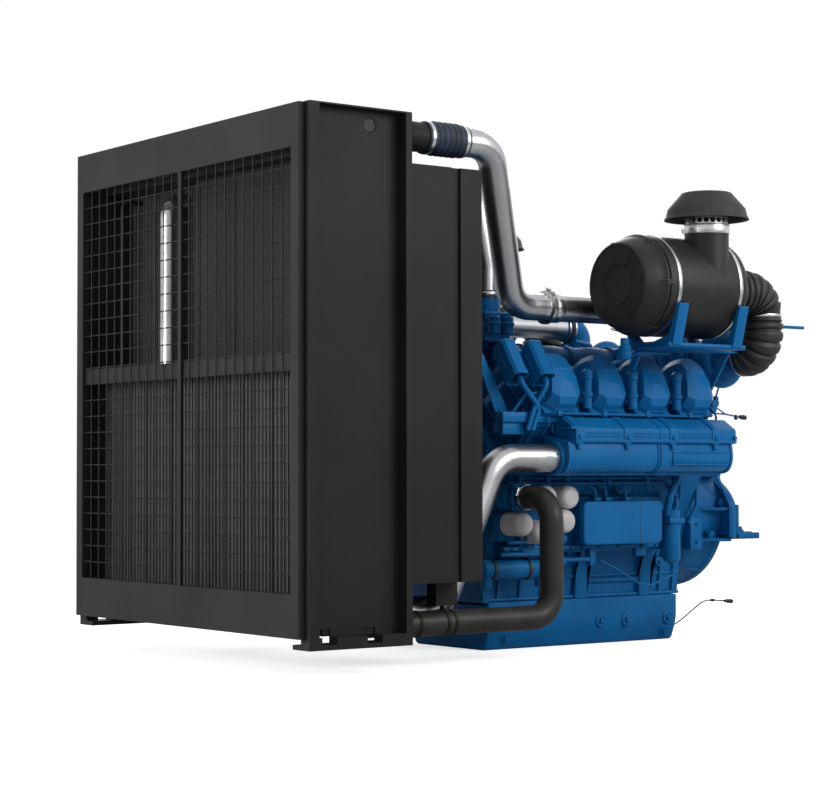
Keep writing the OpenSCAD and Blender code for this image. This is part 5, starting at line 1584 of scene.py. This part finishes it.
def flywheel():
    """Disc with its recess, hub and crankshaft screws, and a ring gear of flat-topped teeth 5 mm high."""
    face = flange_x - 16
    wheel = turned([(-60, 120), (-60, 300), (-56, 305), (-4, 305), (0, 301), (0, 286), (-16, 285.75),
                    (-16, 284)], (face, 0, crank_z), BACK, 160)
    hub = turned([(bell_low[0] + 20 - face, 112), (bell_low[0] + 22 - face, 120), (-58, 120)],
                 (face, 0, crank_z), BACK, 64)
    centre = turned([(-17, 60), (-12, 62), (-10, 58), (-10, 34), (-14, 30)], (face, 0, crank_z))
    teeth = 148
    a = np.repeat(np.arange(teeth) * 2 * math.pi / teeth, 4) + np.tile([-0.011, -0.006, 0.006, 0.011], teeth)
    r = np.tile([306.0, 311.0, 311.0, 306.0], teeth)
    gear = [np.column_stack([np.full(len(a), x), rad * np.cos(a), crank_z + rad * np.sin(a)])
            for x, rad in ((face - 52, r - 8), (face - 52, r), (face - 22, r), (face - 22, r - 8))]
    crank_screws = screws(ring_round(8, 105, (face - 16, 0, crank_z)), BACK, 24, 14)
    return [wheel, hub, centre, loft(np.array(gear), loop=True)] + crank_screws


make("flywheel_disc", flywheel(), iron, "flywheel")
clutch_ring = 271.46
clutch_holes = ring_round(6, clutch_ring, (flange_x - 31.8, 0, crank_z), math.pi / 2)
# The tapped holes are not cut: black discs on the recess floor are painted shade for their insides.
make("flywheel_holes", [turned([(-6, 8.5), (0.2, 8.5)], p, BACK, 24) for p in clutch_holes], black_casting,
     slot="bare_iron")

# ---- Fuel filters ----
# Five spin-on cans of drawn steel on cast heads, their domed ends facing out. They came painted
# pale grey and were screwed on after the engine was sprayed.

# Pale grey enamel on drawn steel is smooth, with a faint warm drift.
pale = finish("pale_can_enamel", "pale_can_paint", "#b4b0b1", "#c4c0c0", 9.0, (150.0, 0.0002, 0.3),
              (0.34, 0.46), specular_ior_level=0.5)
spots = [(253, 63), (233, -37), (133, 64), (5, -46), (103, -80)]
can_front, can_r = -520.0, 49.0
cans = [turned([(0, 6), (1, 24), (4, 36), (10, 43), (18, can_r - 1.5), (28, can_r), (104, can_r),
                (107, can_r + 1.5), (111, can_r + 1.5), (113, can_r - 2), (122, can_r - 6)],
               (bx + x, can_front, crank_z + z), LEFT, 48)
        for x, z in spots]
make("filter_cans", cans, pale, "fuel_filters")
bases = [turned([(118, 50), (130, 54), (150, 54), (156, 40), (230, 36)], (bx + x, can_front, crank_z + z),
                LEFT, 40) for x, z in spots]
bases += [brick((bx + 84, -398, crank_z + 30), (bx + 300, -330, crank_z + 96), 10),
          brick((bx + 182, -398, crank_z - 70), (bx + 284, -330, crank_z + 50), 10),
          brick((bx - 40, -398, crank_z - 120), (bx + 150, -330, crank_z - 10), 10)]
bases += [tube([(55, -410, crank_z - 120), (55, -430, crank_z - 160), (180, -430, crank_z - 160)], 9, 20),
          tube([(300, -380, crank_z + 60), (340, -400, crank_z + 100), (340, -400, crank_z + 150)], 9, 24)]
make("filter_heads", bases, cast_blue)

# ---- Oil filter ----
# A long can standing under its cast head at the rear of the right side, with a hexagon at its
# foot; it was sprayed blue with the engine.
filter_low, filter_high = mm_box("oil_filter")
filter_x = (filter_low[0] + filter_high[0]) / 2
canister = turned([(0, 14), (2, 26), (8, 34), (16, 39), (150, 39), (152, 42), (164, 42), (166, 36),
                   (172, 36)],
                  (filter_x, -450, filter_low[2]), UP, 40)
nut = screws([[filter_x, -450, filter_low[2] + 2]], DOWN, 24, 10)
filter_head = [brick((filter_x - 45, -492, crank_z - 57), (filter_x + 45, -330, crank_z - 32), 8),
               turned([(0, 40), (30, 40), (38, 30)], (filter_x, -450, crank_z - 34), UP, 32)]
make("oil_filter_can", [canister] + nut + filter_head
     + screws([[filter_x + d, -480, crank_z - 32] for d in (-34, 34)], UP, 13, 8),
     sheet_blue, "oil_filter")

# ---- Control box ----
# The engine's electronic module behind a plain rounded cover in two parts, on four rubber feet.
# Cover, plug rail and looms were sprayed with the engine.
box_low, box_high = mm_box("control_box")
wide, tall = box_high[0] - box_low[0], box_high[2] - box_low[2]
corner_r, quarter = 28, np.linspace(0, math.pi / 2, 9)
ring = np.concatenate([
    np.array([x, z]) + corner_r * np.column_stack([np.cos(t), np.sin(t)])
    for x, z, t in ((wide - corner_r, tall - corner_r, quarter),
                    (corner_r, tall - corner_r, quarter + math.pi / 2),
                    (corner_r, corner_r, quarter + math.pi),
                    (wide - corner_r, corner_r, quarter + 1.5 * math.pi))
])
parts = [plate(ring, 38, (box_low[0], box_low[1] + 38, box_low[2]), BACK, UP, 9, 5),
         plate(inset(ring, 26), 64, (box_low[0], box_high[1], box_low[2]), BACK, UP, 2)]
make("control_cover", parts, sheet_blue, "control_box")
seam_x = box_low[0] + 316
seam = brick((seam_x, box_low[1] - 0.6, box_low[2] + 4), (seam_x + 2.5, box_low[1] + 4, box_high[2] - 4), 0.5,
             1)
make("control_seam", [seam], black_casting)
feet = [turned([(-60, 12), (6, 12)], (box_low[0] + x, box_high[1], box_low[2] + z), LEFT, 20)
        for x in (30, wide - 30) for z in (14, tall - 14)]
feet += [brick((box_low[0] + x, -470, box_high[2] - 2), (box_low[0] + x + 34, -424, box_high[2] + 16), 4)
         for x in (90, 150, 262)]
feet += [tube([(335 + x, -447, box_high[2] + 10), (335 + x, -447, box_high[2] + 50),
               (300 + x, -430, box_high[2] + 70)], 7, 18) for x in (107, 167, 279)]
feet += screws([[box_low[0] + x, -430, box_low[2] - 10] for x in (52, 150, 258, 392)], DOWN, 13, 8)
make("control_fittings", feet, cast_blue)

# ---- Oil cooler ----
# A tube-and-shell cooler along the block: a plain drawn shell between cast ends, held to it by
# dark band clamps and painted blue.
cooler_low, cooler_high = mm_box("oil_cooler")
cooler_z = (cooler_low[2] + cooler_high[2]) / 2
shell_r = 44.0
length = cooler_high[0] - cooler_low[0]
at = (cooler_low[0], -385, cooler_z)
parts = [turned([(0, 22), (4, 34), (12, shell_r), (30, shell_r), (32, 41), (length - 40, 41),
                 (length - 38, shell_r), (length - 14, shell_r), (length - 4, 36), (length, 24)], at)]
parts += [brick((bx + x, -400, cooler_z - 34), (bx + x + 30, -290, cooler_z + 34), 8) for x in (28, 168)]
parts += [turned([(0, 24), (40, 24), (44, 18)], (bx + x, -385, cooler_z - 34), DOWN, 24) for x in (-100, 190)]
make("oil_cooler_shell", parts, cast_blue, "oil_cooler")
make("oil_cooler_bands", [turned([(-6, 42), (-6, 46), (6, 46), (6, 42)], (bx + x, -385, cooler_z), loop=True)
                          for x in (-78, 108)],
     rubber)

# ---- Starter and battery-charging alternator ----
# Both are hidden on the engine's left: a starter with its solenoid on top, and a finned,
# bare aluminium machine behind its fan and pulley.
start_low, start_high = mm_box("starter")
x0, x1 = start_low[0], start_high[0]
parts = [turned([(0, 30), (4, 62), (10, 72), (20, 75), (170, 75), (176, 70), (210, 66), (250, 75),
                 (x1 - x0, 75)], (x0, 404, crank_z - 60)),
         turned([(0, 26), (6, 34), (12, 38), (150, 38), (160, 34)], (x0 + 40, 440, crank_z + 45), BACK, 40),
         brick((x0 + 60, 396, crank_z - 10), (x0 + 180, 444, crank_z + 20), 8)]
parts += [turned([(0, 7), (22, 7)], (x0 + 42, 440 + d, crank_z + 45), FRONT, 14) for d in (-14, 14)]
parts += screws([[x0 + 4, 404 + 50 * math.cos(b), crank_z - 60 + 50 * math.sin(b)] for b in (0.6, 2.7, 4.4)],
                FRONT, 14, 8)
make("starter_motor", parts, black_casting, "starter")

# Die-cast aluminium as it comes from the mould is pale grey, with a 2 mm grain and a soft shine.
aluminium = finish("die_cast_aluminium", "bare_aluminium", "#9a9b9d", "#b2b3b5", 18.0, (420.0, 0.0003, 0.6),
                   (0.42, 0.58), metallic=1.0)
y, z = charger
back = bx + 150 - case_face
profile = [(0, 24), (2, 70), (10, 85), (46, 85), (48, 80), (58, 80), (60, 84)]
for k in range(8):
    profile += [(66 + 10 * k, 84), (67 + 10 * k, 78), (71 + 10 * k, 78), (72 + 10 * k, 84)]
profile += [(150, 85), (back - 10, 82), (back - 2, 60), (back, 24)]
parts = [turned(profile, (case_face, y, z), BACK, 56), brick((bx + 40, 280, z - 30), (bx + 90, y, z + 30), 6)]
parts += [plate(rounded([(20, -5), (72, -8), (72, 8), (20, 5)], 3), 6, (case_face - 5, y, z),
                (0, math.cos(b), math.sin(b)), (0, -math.sin(b), math.cos(b)), 1.5)
          for b in np.arange(10) * math.pi / 5]
make("charging_alternator", parts, aluminium, "alternator")
wheel = turned([(60, 20), (60, 40), (61, 44), *grooves(62, 45, 3), (81, 44), (82, 38), (82, 22), (96, 20)],
               (belt_face, y, z))
make("charger_pulley", [wheel] + screws([[belt_face + 60, y, z]], FRONT, 26, 14), black_casting,
     slot="bare_aluminium")
